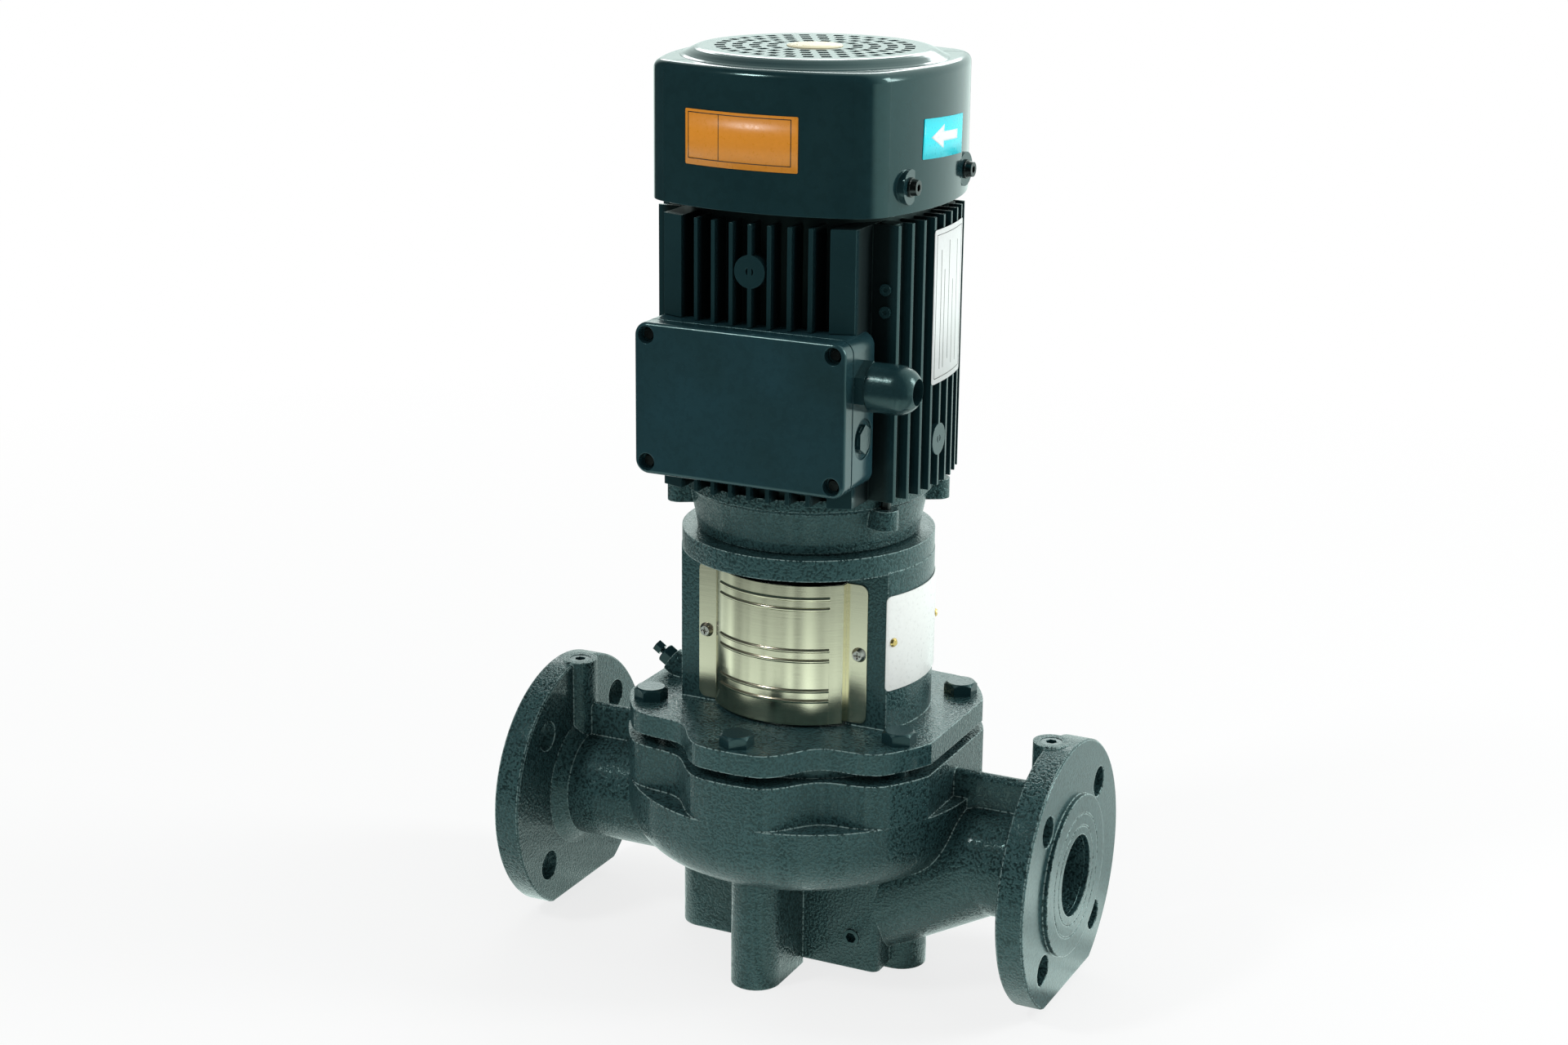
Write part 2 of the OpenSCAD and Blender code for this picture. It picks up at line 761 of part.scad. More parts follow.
module impeller() {
    outer = impeller_d / 2;
    inner = eye_d / 2;
    color("darkkhaki") translate([0, 0, impeller_z]) difference() {
        union() {
            rotate_extrude($fn = 96) polygon([[inner, floor_z - impeller_z + 1],
                [neck_r, floor_z - impeller_z + 1], [neck_r, 0], [outer, 10], [outer, 13],
                [inner + 6, 4], [inner, 1]]);
            rotate_extrude($fn = 96) polygon([[0, 2], [hub_r - 3, 2], [hub_r, 8], [hub_r + 2, 26],
                [outer, 27], [outer, 30], [0, 30]]);
            intersection() {
                translate([0, 0, 1]) linear_extrude(28) vane_pair_outline();
                rotate_extrude($fn = 96) polygon([[inner - 2, 2.5], [inner + 6, 3], [outer, 12],
                    [outer, 28], [inner - 2, 28]]);
            }
        }
        translate([0, 0, -eps]) cylinder(r = impeller_bore + fit, h = 40, $fn = 48);
        translate([0, -2.05, 1]) cube([11, 4.1, 40]);
    }
}

module impeller_key() {
    color(steel) translate([impeller_bore - 3, -2, impeller_z + 6]) cube([5.8, 4, 20]);
}

module impeller_nut() {
    color(steel) translate([0, 0, impeller_z - 8]) difference() {
        union() {
            hexagon(17, 9);
            translate([0, 0, 8.5]) cylinder(r = 11, h = 1.5);
        }
        translate([0, 0, 1.5]) cylinder(r = 6 + fit, h = 20, $fn = 48);
    }
}

module pump_shaft() {
    color(steel) difference() {
        union() {
            translate([0, 0, impeller_z - 6]) cylinder(r = 6, h = 9, $fn = 48);
            translate([0, 0, impeller_z + 2]) cylinder(r = impeller_bore, h = 30, $fn = 48);
            translate([0, 0, hub_top]) cylinder(r = shaft_r, h = coupling_mid - 1 - hub_top);
        }
        translate([impeller_bore - 3 - fit, -2 - fit, impeller_z + 6 - fit])
            cube([8, 4 + 2 * fit, 20 + 2 * fit]);
    }
}

module seal_head() {
    color("dimgray") translate([0, 0, seal_z + 4])
        tube(shaft_r + 6.5, shaft_r + fit, seat_z - seal_z - 4 - near / 2);
}

module seal_bellows() {
    color(rubber_black) difference() {
        translate([0, 0, hub_top]) union() {
            cylinder(r = shaft_r + 3, h = seal_z + 4 - hub_top);
            for (k = [0:2]) translate([0, 0, 1.8 + 3 * k]) rotate_extrude()
                translate([shaft_r + 3, 0]) circle(1.4, $fn = 20);
        }
        translate([0, 0, hub_top - eps]) cylinder(r = shaft_r + fit, h = 40);
    }
}

module coupling_half() {
    difference() {
        translate([0, 0, coupling_z]) intersection() {
            cylinder(r = coupling_r, h = coupling_h);
            translate([half_gap / 2, -coupling_r, 0]) cube([coupling_r, 2 * coupling_r, coupling_h]);
        }
        translate([0, 0, coupling_z - eps]) cylinder(r = shaft_r + fit,
            h = coupling_mid - coupling_z + eps);
        translate([0, 0, coupling_mid - eps]) cylinder(r = motor_shaft_r + fit, h = coupling_h);
        for (z = [14, coupling_h - 14], y = [-1, 1])
            translate([0, y * coupling_screw_x, coupling_z + z]) rotate([0, 90, 0]) {
                cylinder(r = 3.05, h = 2 * coupling_r, $fn = 24);
                translate([0, 0, 11]) cylinder(r = 5.2, h = coupling_r, $fn = 24);
            }
    }
}

module coupling_half_right() {
    color("slategray") coupling_half();
}

module coupling_half_left() {
    color("slategray") mirror([1, 0, 0]) coupling_half();
}

module coupling_screws() {
    color(steel) for (z = [14, coupling_h - 14], y = [-1, 1])
        translate([-11, y * coupling_screw_x, coupling_z + z]) rotate([0, 90, 0]) {
            translate([0, 0, -5]) cylinder(r = 5, h = 5, $fn = 24);
            cylinder(r = 3, h = 22, $fn = 24);
            translate([0, 0, 22]) hexagon(9, 4.5);
        }
}

module motor_screws() {
    color(steel) ring_of([45, 135, 225, 315], flange_screw_r) translate([0, 0, ring_z]) {
        translate([0, 0, -6]) cylinder(r = 5, h = 6, $fn = 24);
        translate([0, 0, -eps]) cylinder(r = 2.95, h = ring_t + 8 + eps, $fn = 24);
    }
}

module lower_end_shield() {
    color(paint) difference() {
        union() {
            translate([0, 0, motor_z]) rotate_extrude($fn = 96) polygon([[14, -4], [spigot_r, -4],
                [spigot_r, 0], [stator_r, 0], [stator_r + 1.5, 1.5], [stator_r + 1.8, 4],
                [stator_r + 6.2, shield_h - 9.5], [stator_r + 9, shield_h - 7],
                [stator_r + 9, shield_h], [stator_r - 0.2, shield_h],
                [stator_r - 0.2, shield_h + 4], [stator_r - 6, shield_h + 4],
                [stator_r - 6, 14], [stator_r - 10, 11], [32, 11],
                [32, 27], [bearing_or + fit, 27], [bearing_or + fit, 13], [14, 13]]);
            ring_of(lug_angles, tie_r) translate([0, 0, lug_z]) {
                cylinder(r = 7.5, h = lug_t, $fn = 48);
                translate([-10, -7.5, 0]) cube([10, 15, lug_t]);
            }
        }
        ring_of(lug_angles, tie_r) {
            translate([0, 0, lug_z - eps]) cylinder(r = 5.2, h = 6, $fn = 24);
            translate([0, 0, lug_z]) cylinder(r = 3.2, h = 40, $fn = 24);
        }
        ring_of([45, 135, 225, 315], flange_screw_r) translate([0, 0, motor_z - eps])
            cylinder(r = 3, h = 9 + eps, $fn = 24);
        translate([0, 0, motor_z + 13]) cylinder(r = bearing_or + fit, h = bearing_w + eps);
    }
}

module tie_bolts() {
    color(steel) ring_of(lug_angles, tie_r) {
        translate([0, 0, lug_z + 1]) cylinder(r = 4.9, h = 4, $fn = 24);
        translate([0, 0, lug_z + 4]) cylinder(r = 2.95, h = housing_z - lug_z + 14, $fn = 24);
    }
}

// Four bowed sides whose corners are cut by a round
module bowed_square(reach, corner) {
    intersection() {
        circle(corner, $fn = 128);
        translate([reach - side_bow, 0]) circle(side_bow, $fn = 256);
        translate([side_bow - reach, 0]) circle(side_bow, $fn = 256);
        translate([0, reach - side_bow]) circle(side_bow, $fn = 256);
        translate([0, side_bow - reach]) circle(side_bow, $fn = 256);
    }
}

module fin_rows() {
    for (side = [0:90:270]) rotate([0, 0, side]) for (k = [-4:4])
        translate([0, k * fin_pitch - fin_t / 2]) square([100, fin_t]);
}

// Flat columns beside the outermost fins of the front and the back
module corner_columns() {
    inner = sqrt(pow(stator_r + 2, 2) - column_out * column_out);
    for (sx = [-1, 1], sy = [-1, 1])
        translate([sx * column_out - (sx + 1) * 6.8, sy * (inner + 30) - 30]) square([13.6, 60]);
}

module housing_body() {
    difference() {
        union() {
            translate([0, 0, housing_z]) linear_extrude(fin_top - housing_z) intersection() {
                bowed_square(fin_reach, corner_r);
                union() {
                    circle(shell_r, $fn = 96);
                    fin_rows();
                    corner_columns();
                    ring_of(lug_angles, tie_r) circle(6, $fn = 32);
                }
            }
            translate([0, 0, fin_top - eps]) cylinder(r = shell_r, h = housing_top - fin_top + eps,
                $fn = 96);
            intersection() {
                translate([-pad_half, seat_y, box_z - box_h / 2 + 1])
                    cube([2 * pad_half, 30, box_h - 2]);
                cylinder(r = corner_r, h = 1000);
            }
            for (a = [0, 180]) rotate([0, 0, a]) lifting_boss(60, housing_z + 28);
            lifting_boss(-90, fin_top - 27);
            for (z = frame_screw_z) along_front([frame_screw_x, -tie_r / 2, z])
                cylinder(r = 4.5, h = 4 * fin_pitch - tie_r / 2);
        }
        for (z = frame_screw_z) along_front([frame_screw_x, -tie_r / 2, z])
            cylinder(r = 2, h = 20, $fn = 24);
        translate([0, 0, housing_z - eps]) cylinder(r = stator_r, h = housing_h + 2 * eps, $fn = 96);
        translate([-box_w / 2 - 0.4, -120, box_z - box_h / 2 - 0.4])
            cube([box_w + 0.8, 120 + seat_y, box_h + 0.8]);
        for (s = [-1, 1])
            translate([s * (pad_half + 4.2) - 4.2, -120, box_z - box_h / 2 - 0.4])
            cube([8.4, 120 + cheek_y, box_h + 0.8]);
        ring_of(lug_angles, tie_r) translate([0, 0, housing_z - eps])
            cylinder(r = 3, h = 22, $fn = 24);
        along_front([0, -50, box_z]) cylinder(r = 12, h = 40);
        along_x(gland_pos) cylinder(r = gland_clear_r, h = 40);
    }
}

// Round screw boss among the fins
module lifting_boss(a, z) {
    rotate([0, 0, a == -90 ? -90 : 0]) along_x([stator_r + 1, 0, z]) difference() {
        cylinder(r = 9.5, h = fin_reach - stator_r - 1);
        translate([0, 0, 4]) cylinder(r = 2.5, h = 30, $fn = 24);
    }
}

// Two screws in the outermost fin of the right side
module frame_screws() {
    color(steel) for (z = frame_screw_z)
        along_front([frame_screw_x, -4 * fin_pitch - fin_t / 2, z]) difference() {
            union() {
                cylinder(r = 3.4, h = 2);
                translate([0, 0, -8]) cylinder(r = 2 - fit, h = 9, $fn = 24);
            }
            translate([0, 0, 0.8]) hexagon(2.6, 3);
        }
}

module stator_housing() {
    color(paint) housing_body();
}

module stator_core() {
    color("silver") translate([0, 0, pack_z]) linear_extrude(pack_h) difference() {
        circle(stator_r - fit, $fn = 96);
        circle(rotor_r + 0.5, $fn = 96);
        for (k = [0:23]) rotate([0, 0, 15 * k]) {
            translate([rotor_r - 1, -1]) square([6, 2]);
            translate([rotor_r + 3, -2.6]) square([12, 5.2]);
        }
    }
}

module winding_end() {
    rotate_extrude() translate([rotor_r + 10, 9]) {
        square([13, 10], center = true);
        translate([0, 4]) circle(6.5, $fn = 32);
    }
}

module stator_windings() {
    color(copper) {
        translate([0, 0, pack_z + pack_h - 4]) winding_end();
        translate([0, 0, pack_z + 4]) mirror([0, 0, 1]) winding_end();
        translate([0, 0, pack_z - 2]) linear_extrude(pack_h + 4) for (k = [0:23])
            rotate([0, 0, 15 * k]) translate([rotor_r + 3.2, -2.4]) square([11.6, 4.8]);
    }
}

module upper_end_shield() {
    color(paint) difference() {
        union() {
            translate([0, 0, housing_top]) rotate_extrude($fn = 96) polygon([[13, -10],
                [bearing_or + fit, -10], [bearing_or + fit, -24], [30, -24], [30, -3], [58, -3],
                [58, -8], [stator_r - 0.1, -8], [stator_r - 0.1, 0], [76, 0], [76, 6], [13, 6]]);
            for (p = cover_screws) mirror([p[0], 0, 0]) {
                translate([cover_seat_x(p[1]) - 20, p[1] - 7, housing_top])
                    cube([12, 14, cover_screw_z + 7 - housing_top]);
                along_x([cover_seat_x(p[1]) - 20, p[1], cover_screw_z])
                    cylinder(r = 7, h = 20 - cover_sheet);
            }
        }
        for (p = cover_screws) mirror([p[0], 0, 0])
            along_x([cover_seat_x(p[1]) - 14, p[1], cover_screw_z])
            cylinder(r = 2.2, h = 14, $fn = 24);
    }
}

module bearing_ring_outer(z) {
    translate([0, 0, z]) difference() {
        tube(bearing_or, ball_pitch + 3.2, bearing_w);
        translate([0, 0, bearing_w / 2]) rotate_extrude($fn = 64)
            translate([ball_pitch, 0]) circle(ball_r + 0.1, $fn = 32);
    }
}

module bearing_ring_inner(z) {
    translate([0, 0, z]) difference() {
        tube(ball_pitch - 3.2, bearing_ir + fit, bearing_w);
        translate([0, 0, bearing_w / 2]) rotate_extrude($fn = 64)
            translate([ball_pitch, 0]) circle(ball_r + 0.05, $fn = 32);
    }
}

module lower_bearing_outer() {
    color("silver") bearing_ring_outer(lower_bearing_z);
}

module upper_bearing_outer() {
    color("silver") bearing_ring_outer(upper_bearing_z);
}

module lower_bearing_inner() {
    color("silver") bearing_ring_inner(lower_bearing_z);
}

module upper_bearing_inner() {
    color("silver") bearing_ring_inner(upper_bearing_z);
}

module bearing_balls() {
    color("silver") for (z = [lower_bearing_z, upper_bearing_z], k = [0:7])
        rotate([0, 0, 45 * k]) translate([ball_pitch, 0, z + bearing_w / 2])
        sphere(ball_r, $fn = 32);
}

module motor_shaft() {
    color(steel) {
        translate([0, 0, coupling_mid + 1]) cylinder(r = motor_shaft_r,
            h = lower_bearing_z - coupling_mid, $fn = 48);
        translate([0, 0, lower_bearing_z]) cylinder(r = bearing_ir,
            h = upper_bearing_z + bearing_w - lower_bearing_z, $fn = 48);
        translate([0, 0, lower_bearing_z + bearing_w]) cylinder(r = rotor_body_r,
            h = upper_bearing_z - lower_bearing_z - bearing_w);
        translate([0, 0, upper_bearing_z + bearing_w - eps]) cylinder(r = fan_shaft_r,
            h = cover_z + 40 - upper_bearing_z - bearing_w, $fn = 48);
    }
}

module rotor_core() {
    color("gray") translate([0, 0, pack_z]) {
        tube(rotor_r, rotor_body_r + fit, pack_h);
        for (z = [-5, pack_h]) translate([0, 0, z]) tube(rotor_r - 4, rotor_r - 15, 5);
    }
}

module cooling_fan() {
    fan_z = housing_top + 9;
    color("dimgray") difference() {
        union() {
            translate([0, 0, fan_z]) cylinder(r = 14, h = 30);
            translate([0, 0, fan_z + 6]) cylinder(r = 58, h = 2.5, $fn = 96);
            for (k = [0:6]) rotate([0, 0, k * 360 / 7])
                translate([10, -1.2, fan_z + 8]) cube([48, 2.4, 24]);
        }
        translate([0, 0, fan_z - eps]) cylinder(r = fan_shaft_r + fit, h = 60);
    }
}

// Block with four bowed sides, tangent upright corners and a rounded shoulder
module bowed_block(inset, h) {
    k = side_bow - cover_reach;
    d = (sqrt(2 * pow(side_bow - cover_corner, 2) - k * k) - k) / 2;
    a = atan2(d, d + k);
    reach = 2 * cover_reach;
    round_r = cover_round - inset;
    difference() {
        intersection() {
            translate([-k, 0]) rounded_disc(side_bow - inset, round_r, h, 256);
            translate([k, 0]) rounded_disc(side_bow - inset, round_r, h, 256);
            translate([0, -k]) rounded_disc(side_bow - inset, round_r, h, 256);
            translate([0, k]) rounded_disc(side_bow - inset, round_r, h, 256);
        }
        for (q = [0:90:270]) rotate([0, 0, q]) translate([d, d, -eps]) linear_extrude(h + 2 * eps)
            polygon([[0, 0], reach * [cos(a), sin(a)], reach * [sin(a), cos(a)]]);
    }
    for (q = [0:90:270]) rotate([0, 0, q]) translate([d, d]) rotate([0, 0, a - 1])
        rounded_disc(cover_corner - inset + proud, round_r, h + proud, 96, 92 - 2 * a);
}

module cover_dome(inset) {
    translate([0, 0, cover_h - cover_round]) rotate_extrude($fn = 96)
        polygon([[0, 0], [dome_r - inset, 0],
            for (k = [0:7]) let (r = dome_r - k * (dome_r - dome_top_r) / 7)
                [r - inset, cover_round + dome_z(r) - inset - (k == 0 ? 2 : 0)],
            [0, cover_round + dome_h - inset]]);
}

// Rings of square holes with about the same distance between them
module grille_holes() {
    for (k = [0:3]) {
        r = grille_r - k * hole_pitch;
        n = 2 * round(PI * r / hole_pitch);
        for (i = [0:n - 1]) rotate([0, 0, (i + 0.5) * 360 / n])
            translate([r - hole_w / 2, -hole_w / 2, cover_h - 4]) cube([hole_w, hole_w, dome_h + 8]);
    }
}

module fan_cover() {
    seat_drop = cover_screw_z - cover_z;
    color(paint) translate([0, 0, cover_z]) difference() {
        union() {
            bowed_block(0, cover_h);
            cover_dome(0);
            for (p = cover_screws) mirror([p[0], 0, 0])
                along_x([cover_seat_x(p[1]) - 10, p[1], seat_drop])
                cylinder(r = cover_seat_r, h = 10);
        }
        translate([0, 0, -eps]) bowed_block(cover_sheet, cover_h - cover_sheet + eps);
        cover_dome(cover_sheet);
        for (p = cover_screws) mirror([p[0], 0, 0])
            along_x([cover_seat_x(p[1]) - 20, p[1], seat_drop]) {
                cylinder(r = cover_seat_r - cover_sheet, h = 20 - cover_sheet);
                cylinder(r = 2.6, h = 40, $fn = 24);
            }
        grille_holes();
    }
}

module fan_cover_screws() {
    color(steel) for (p = cover_screws) mirror([p[0], 0, 0])
        along_x([cover_seat_x(p[1]), p[1], cover_screw_z]) difference() {
            union() {
                cylinder(r = 5.6, h = 1.2);
                translate([0, 0, 1]) cylinder(r1 = 4.9, r2 = 4.3, h = 3.8);
                translate([0, 0, -11]) cylinder(r = 2.1, h = 12, $fn = 24);
            }
            translate([0, 0, 2.4]) hexagon(4, 4);
        }
}

module box_outline() {
    round_rect(box_w, box_h, box_corner);
}

module terminal_box_base() {
    color(paint) difference() {
        along_front([0, cheek_y, box_z]) linear_extrude(cheek_y - base_front) box_outline();
        translate([-pad_half - 0.05, seat_y, box_z - box_h])
            cube([2 * pad_half + 0.1, 30, 2 * box_h]);
        along_front([0, seat_y - 3, box_z]) linear_extrude(40)
            round_rect(box_w - 16, box_h - 30, 4);
        along_front([0, seat_y + eps, box_z]) cylinder(r = 11, h = 10);
        for (x = [-1, 1], z = [-1, 1])
            along_front([x * lid_screw_x, base_front + 12, box_z + z * lid_screw_z])
            cylinder(r = 2, h = 13, $fn = 24);
        along_x(gland_pos - [9, 0, 0]) cylinder(r = gland_r, h = 12);
        along_x(blank_pos - [9, 0, 0]) cylinder(r = gland_r, h = 12);
        along_x(blank_pos - [1.5, 0, 0]) cylinder(r = 11.8, h = 12);
    }
}

module lid_gasket() {
    color(rubber_black) along_front([0, base_front, box_z]) linear_extrude(gasket_t) difference() {
        round_rect(box_w - 3, box_h - 3, box_corner - 1.5);
        round_rect(box_w - 16, box_h - 30, 4);
        for (x = [-1, 1], z = [-1, 1]) translate([x * lid_screw_x, z * lid_screw_z])
            circle(2.4, $fn = 24);
    }
}

module terminal_box_lid() {
    color(paint) difference() {
        along_front([0, lid_back, box_z]) pillow(box_w, box_h, box_corner, lid_t, lid_round);
        along_front([0, lid_back + eps, box_z]) linear_extrude(lid_t - 3)
            round_rect(box_w - 16, box_h - 30, 4);
        for (x = [-1, 1], z = [-1, 1])
            along_front([x * lid_screw_x, lid_back + eps, box_z + z * lid_screw_z]) {
                cylinder(r = 2.4, h = 40, $fn = 24);
                translate([0, 0, 4 + eps]) cylinder(r = 5.2, h = 40);
            }
    }
}

module lid_screws() {
    color(steel) for (x = [-1, 1], z = [-1, 1])
        along_front([x * lid_screw_x, lid_back - 4, box_z + z * lid_screw_z]) {
            cylinder(r1 = 4.2, r2 = 3, h = 2.8);
            translate([0, 0, -4 - gasket_t - 9]) cylinder(r = 1.95, h = 14, $fn = 24);
        }
}

module terminal_board() {
    color("saddlebrown") along_front([0, seat_y - 3, box_z - 4]) difference() {
        linear_extrude(6) round_rect(64, 36, 3);
        for (x = [-20, 0, 20], z = [-9, 9]) translate([x, z, -eps])
            cylinder(r = 2.05, h = 10, $fn = 24);
    }
}

module terminal_studs() {
    color("gold") for (x = [-20, 0, 20], z = [-9, 9])
        along_front([x, seat_y - 3, box_z - 4 + z]) {
            cylinder(r = 2, h = 14, $fn = 24);
            translate([0, 0, 6]) hexagon(7, 3);
        }
}

module cable_gland_body() {
    color(paint) along_x(gland_pos) difference() {
        union() {
            hexagon(gland_af, 6);
            translate([0, 0, -entry_depth]) cylinder(r = gland_r - fit, h = entry_depth + eps);
            cylinder(r = 10, h = 16);
        }
        translate([0, 0, -9]) cylinder(r = cable_r + 0.6, h = 60, $fn = 48);
    }
}

module gland_nut() {
    color(paint) along_x(gland_pos + [6.3, 0, 0]) difference() {
        rotate_extrude() {
            square([14.2, 15]);
            intersection() {
                translate([0, 15]) circle(14.2);
                translate([0, 15]) square([14.2, 12.5]);
            }
        }
        translate([0, 0, -eps]) cylinder(r = 10.3, h = 18 + eps);
        translate([0, 0, 10]) cylinder(r = cable_r + 0.6, h = 40);
    }
}

module gland_seal() {
    color(rubber_black) along_x(gland_pos + [16.1, 0, 0]) tube(9.8, cable_r, 7.8);
}

module blanking_plug() {
    color(paint) along_x(blank_pos - [1.5, 0, 0]) {
        hexagon(15, 3);
        translate([0, 0, 1.5 - entry_depth]) cylinder(r = gland_r - fit, h = entry_depth);
    }
}

volute_casing();
wear_ring();
casing_cover();
cover_o_ring();
seal_seat();
motor_stool();
casing_bolts();
gauge_plugs();
drain_plug();
vent_plug();
vent_screw();
coupling_guard_front();
coupling_guard_rear();
guard_screws();
name_plate();
plate_rivets();
impeller();
impeller_nut();
impeller_key();
pump_shaft();
seal_head();
seal_bellows();
coupling_half_left();
coupling_half_right();
coupling_screws();
motor_screws();
lower_end_shield();
tie_bolts();
stator_housing();
frame_screws();
stator_core();
stator_windings();
upper_end_shield();
lower_bearing_outer();
upper_bearing_outer();
lower_bearing_inner();
upper_bearing_inner();
bearing_balls();
motor_shaft();
rotor_core();
cooling_fan();
fan_cover();
fan_cover_screws();
terminal_box_base();
terminal_box_lid();
lid_gasket();
lid_screws();
terminal_board();
terminal_studs();
cable_gland_body();
gland_nut();
gland_seal();
blanking_plug();
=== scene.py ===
"""Looks of a vertical in-line circulation pump: petrol gloss paint over cast iron, a stainless
coupling guard, plain labels, a pale floor and soft studio light."""

import math

import bmesh
import bpy
from mathutils import Matrix, Vector


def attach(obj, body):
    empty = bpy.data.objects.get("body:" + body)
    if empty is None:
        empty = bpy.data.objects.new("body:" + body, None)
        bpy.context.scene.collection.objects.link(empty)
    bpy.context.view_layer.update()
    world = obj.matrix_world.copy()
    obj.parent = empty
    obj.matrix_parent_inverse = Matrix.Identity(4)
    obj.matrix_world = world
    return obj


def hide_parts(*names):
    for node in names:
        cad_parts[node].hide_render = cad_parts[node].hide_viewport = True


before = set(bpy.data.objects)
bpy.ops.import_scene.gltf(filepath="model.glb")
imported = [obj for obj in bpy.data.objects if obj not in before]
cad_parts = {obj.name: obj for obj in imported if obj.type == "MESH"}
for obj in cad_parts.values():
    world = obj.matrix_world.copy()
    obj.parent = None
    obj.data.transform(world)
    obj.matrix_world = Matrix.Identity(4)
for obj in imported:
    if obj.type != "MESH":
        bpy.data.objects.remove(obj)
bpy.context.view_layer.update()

MM = 0.001

# Height of the ports' axis over the ground
PORT_H = 0.079

# The flanges' turned faces: where the cast skin fades out along x, and the share that stays
TURNED_FROM, TURNED_FULL = 0.1762, 0.1766
TURNED_SKIN = 0.12

# The fan cover: reach of its bowed sides, the radius of their bow, and its top
COVER_REACH = 0.0845
COVER_BOW = 0.165
COVER_TOP = 0.562

# The housing's fins: reach of their tips, and where the painted shade in their depths begins to
# fade and is gone
FIN_REACH = 0.0835
FIN_SHADE_FADE_FROM, FIN_SHADE_GONE = 0.0770, 0.0815

# The name plate on the right column: bottom edge, height, bending radius, angle, wall, corners
PLATE_LOW = 0.189
PLATE_HIGH = 0.059
PLATE_R = 0.0771
PLATE_SPAN = math.radians(56)
PLATE_WALL = 0.0008
PLATE_CORNER = 0.003
PLATE_BEVEL = 0.0002

# The disc in the middle of the grille: radius below and above, and thickness
DISC_LOW_R, DISC_TOP_R = 0.0165, 0.016
DISC_WALL = 0.0006

# Films and prints: walls, and how far they stand off the cover's side and the fins
FILM_WALL, PRINT_WALL = 0.00025, 0.0001
COVER_FILM_LIFT, COVER_PRINT_LIFT = 0.0001, 0.0003
FIN_FILM_LIFT, FIN_PRINT_LIFT = 0.0003, 0.0005

# The side that a label is on, as a turn from the front
FRONT, RIGHT = 0.0, math.pi / 2

# Two corners of each area, along the side and above the ports' axis
ORANGE_AREA = ((-0.0427, 0.4225), (0.0288, 0.4537))
ORANGE_FRAME = ((-0.0408, 0.4258), (0.0250, 0.4522))
ORANGE_DIVIDE = ((-0.0200, 0.4262), (-0.0196, 0.4518))
CYAN_AREA = ((-0.0305, 0.4259), (0.0240, 0.4486))
WHITE_AREA = ((-0.0135, 0.2937), (0.0365, 0.3845))
WHITE_FRAME = ((-0.0105, 0.2967), (0.0335, 0.3815))

# The white label's upright rules: place along the side, lower and upper end
WHITE_RULES = ((-0.004, 0.302, 0.372), (0.001, 0.302, 0.360), (0.008, 0.306, 0.376),
               (0.015, 0.302, 0.352), (0.023, 0.302, 0.374))
RULE_WIDTH = 0.0005
ORANGE_LINE, WHITE_LINE = 0.0005, 0.0004

# Corners of the films, and strips that let the sheets follow the bow
FILM_CORNER, WHITE_CORNER = 0.0008, 0.002
FILM_STRIPS, LINE_STRIPS, PLATE_STRIPS = 24, 16, 28

# The arrow, and the slight tilt that its label is stuck on with
ARROW_MIDDLE = (-0.0045, 0.4378)
ARROW_LENGTH = 0.036
ARROW_HEAD, ARROW_BARB, ARROW_SHAFT = 0.42, 0.19, 0.075
ARROW_TILT = math.radians(-2.9)

# The photograph's camera, fitted to the two flanges
CAMERA_PLACE = (0.65766, -1.40968, 0.65841 + PORT_H)
CAMERA_YAW = math.radians(25.563)
CAMERA_PITCH = math.radians(16.558)
CAMERA_ROLL = math.radians(0.600)
CAMERA_LENS = 61.39
CAMERA_SENSOR = 36.0
CAMERA_CLIP = (0.05, 60.0)

# Area lamps: name, place, width and height in metres, power in watts
LAMP_TARGET = (0, 0, 0.3)
LAMPS = (
    ("right window", (1.6, 0.6, 1.2), (0.5, 1.0), 20),
    ("back panel", (-0.7, 1.9, 1.30), (1.4, 0.5), 10),
    ("front fill", (-1.2, -1.7, 2.4), (0.4, 0.4), 22),
)

# The floor: half its width, and how its shadows fade away from the pump
FLOOR_HALF = 14
FADE_FROM, FADE_FULL, FADE_NEAR = 0.3, 1.6, 0.78

# What gloss mirrors: the way to the studio's bright side, its tint, its dark and bright ends,
# and how far along that way it is dark and bright, over the floor and in the world
BRIGHT_WAY = (0.5, 0.866, 0.0)
MIRROR_TINT = (0.84, 1.0, 0.95)
MIRROR_DARK, MIRROR_BRIGHT = 0.05, 1.35
FLOOR_REACH = (-0.05, 0.9)
WORLD_REACH = (-0.05, 0.55)

# The mirrored table: brightness, where it fades and ends, and the bands round it that vary it
MIRROR_TABLE = 1.2
TABLE_FROM, TABLE_END = 0.50, 0.98
BAND_SCALE, BAND_FROM, BAND_FULL = 3.2, 0.36, 0.62
BAND_DARK, BAND_BRIGHT = 0.35, 1.45

# Paints and metals, in linear colour
PETROL = (0.0072, 0.0255, 0.0300)
PETROL_LIGHT = (0.0100, 0.0330, 0.0380)
# Nearly black painted shade for the depths between the fins
FIN_DEPTH_SHADE = (0.0025, 0.0045, 0.0060)
GLOSS_TINT = (0.62, 1.0, 0.96)
STAINLESS = (0.86, 0.80, 0.60)
CAST_SHADE = (0.0220, 0.0560, 0.0600)
CAST_LIGHT = (0.0320, 0.0760, 0.0800)
# Pale painted highlight put on pebbled edges
EDGE_HIGHLIGHT_PAINT = (0.45, 0.60, 0.58)
DUST_GREY = (0.32, 0.34, 0.33)
LABEL_WHITE = (0.90, 0.93, 0.90)
LABEL_ORANGE = (0.80, 0.29, 0.02)
LABEL_CYAN = (0.005, 0.78, 0.90)
LABEL_INK = (0.03, 0.022, 0.015)

# Share of the lighter paint put on edges, partly edge wear and partly a painted highlight, and the
# coat over the gloss paint
EDGE_WEAR_AND_HIGHLIGHT = 0.35
COAT_WEIGHT, COAT_ROUGHNESS = 0.1, 0.05


# Node helpers

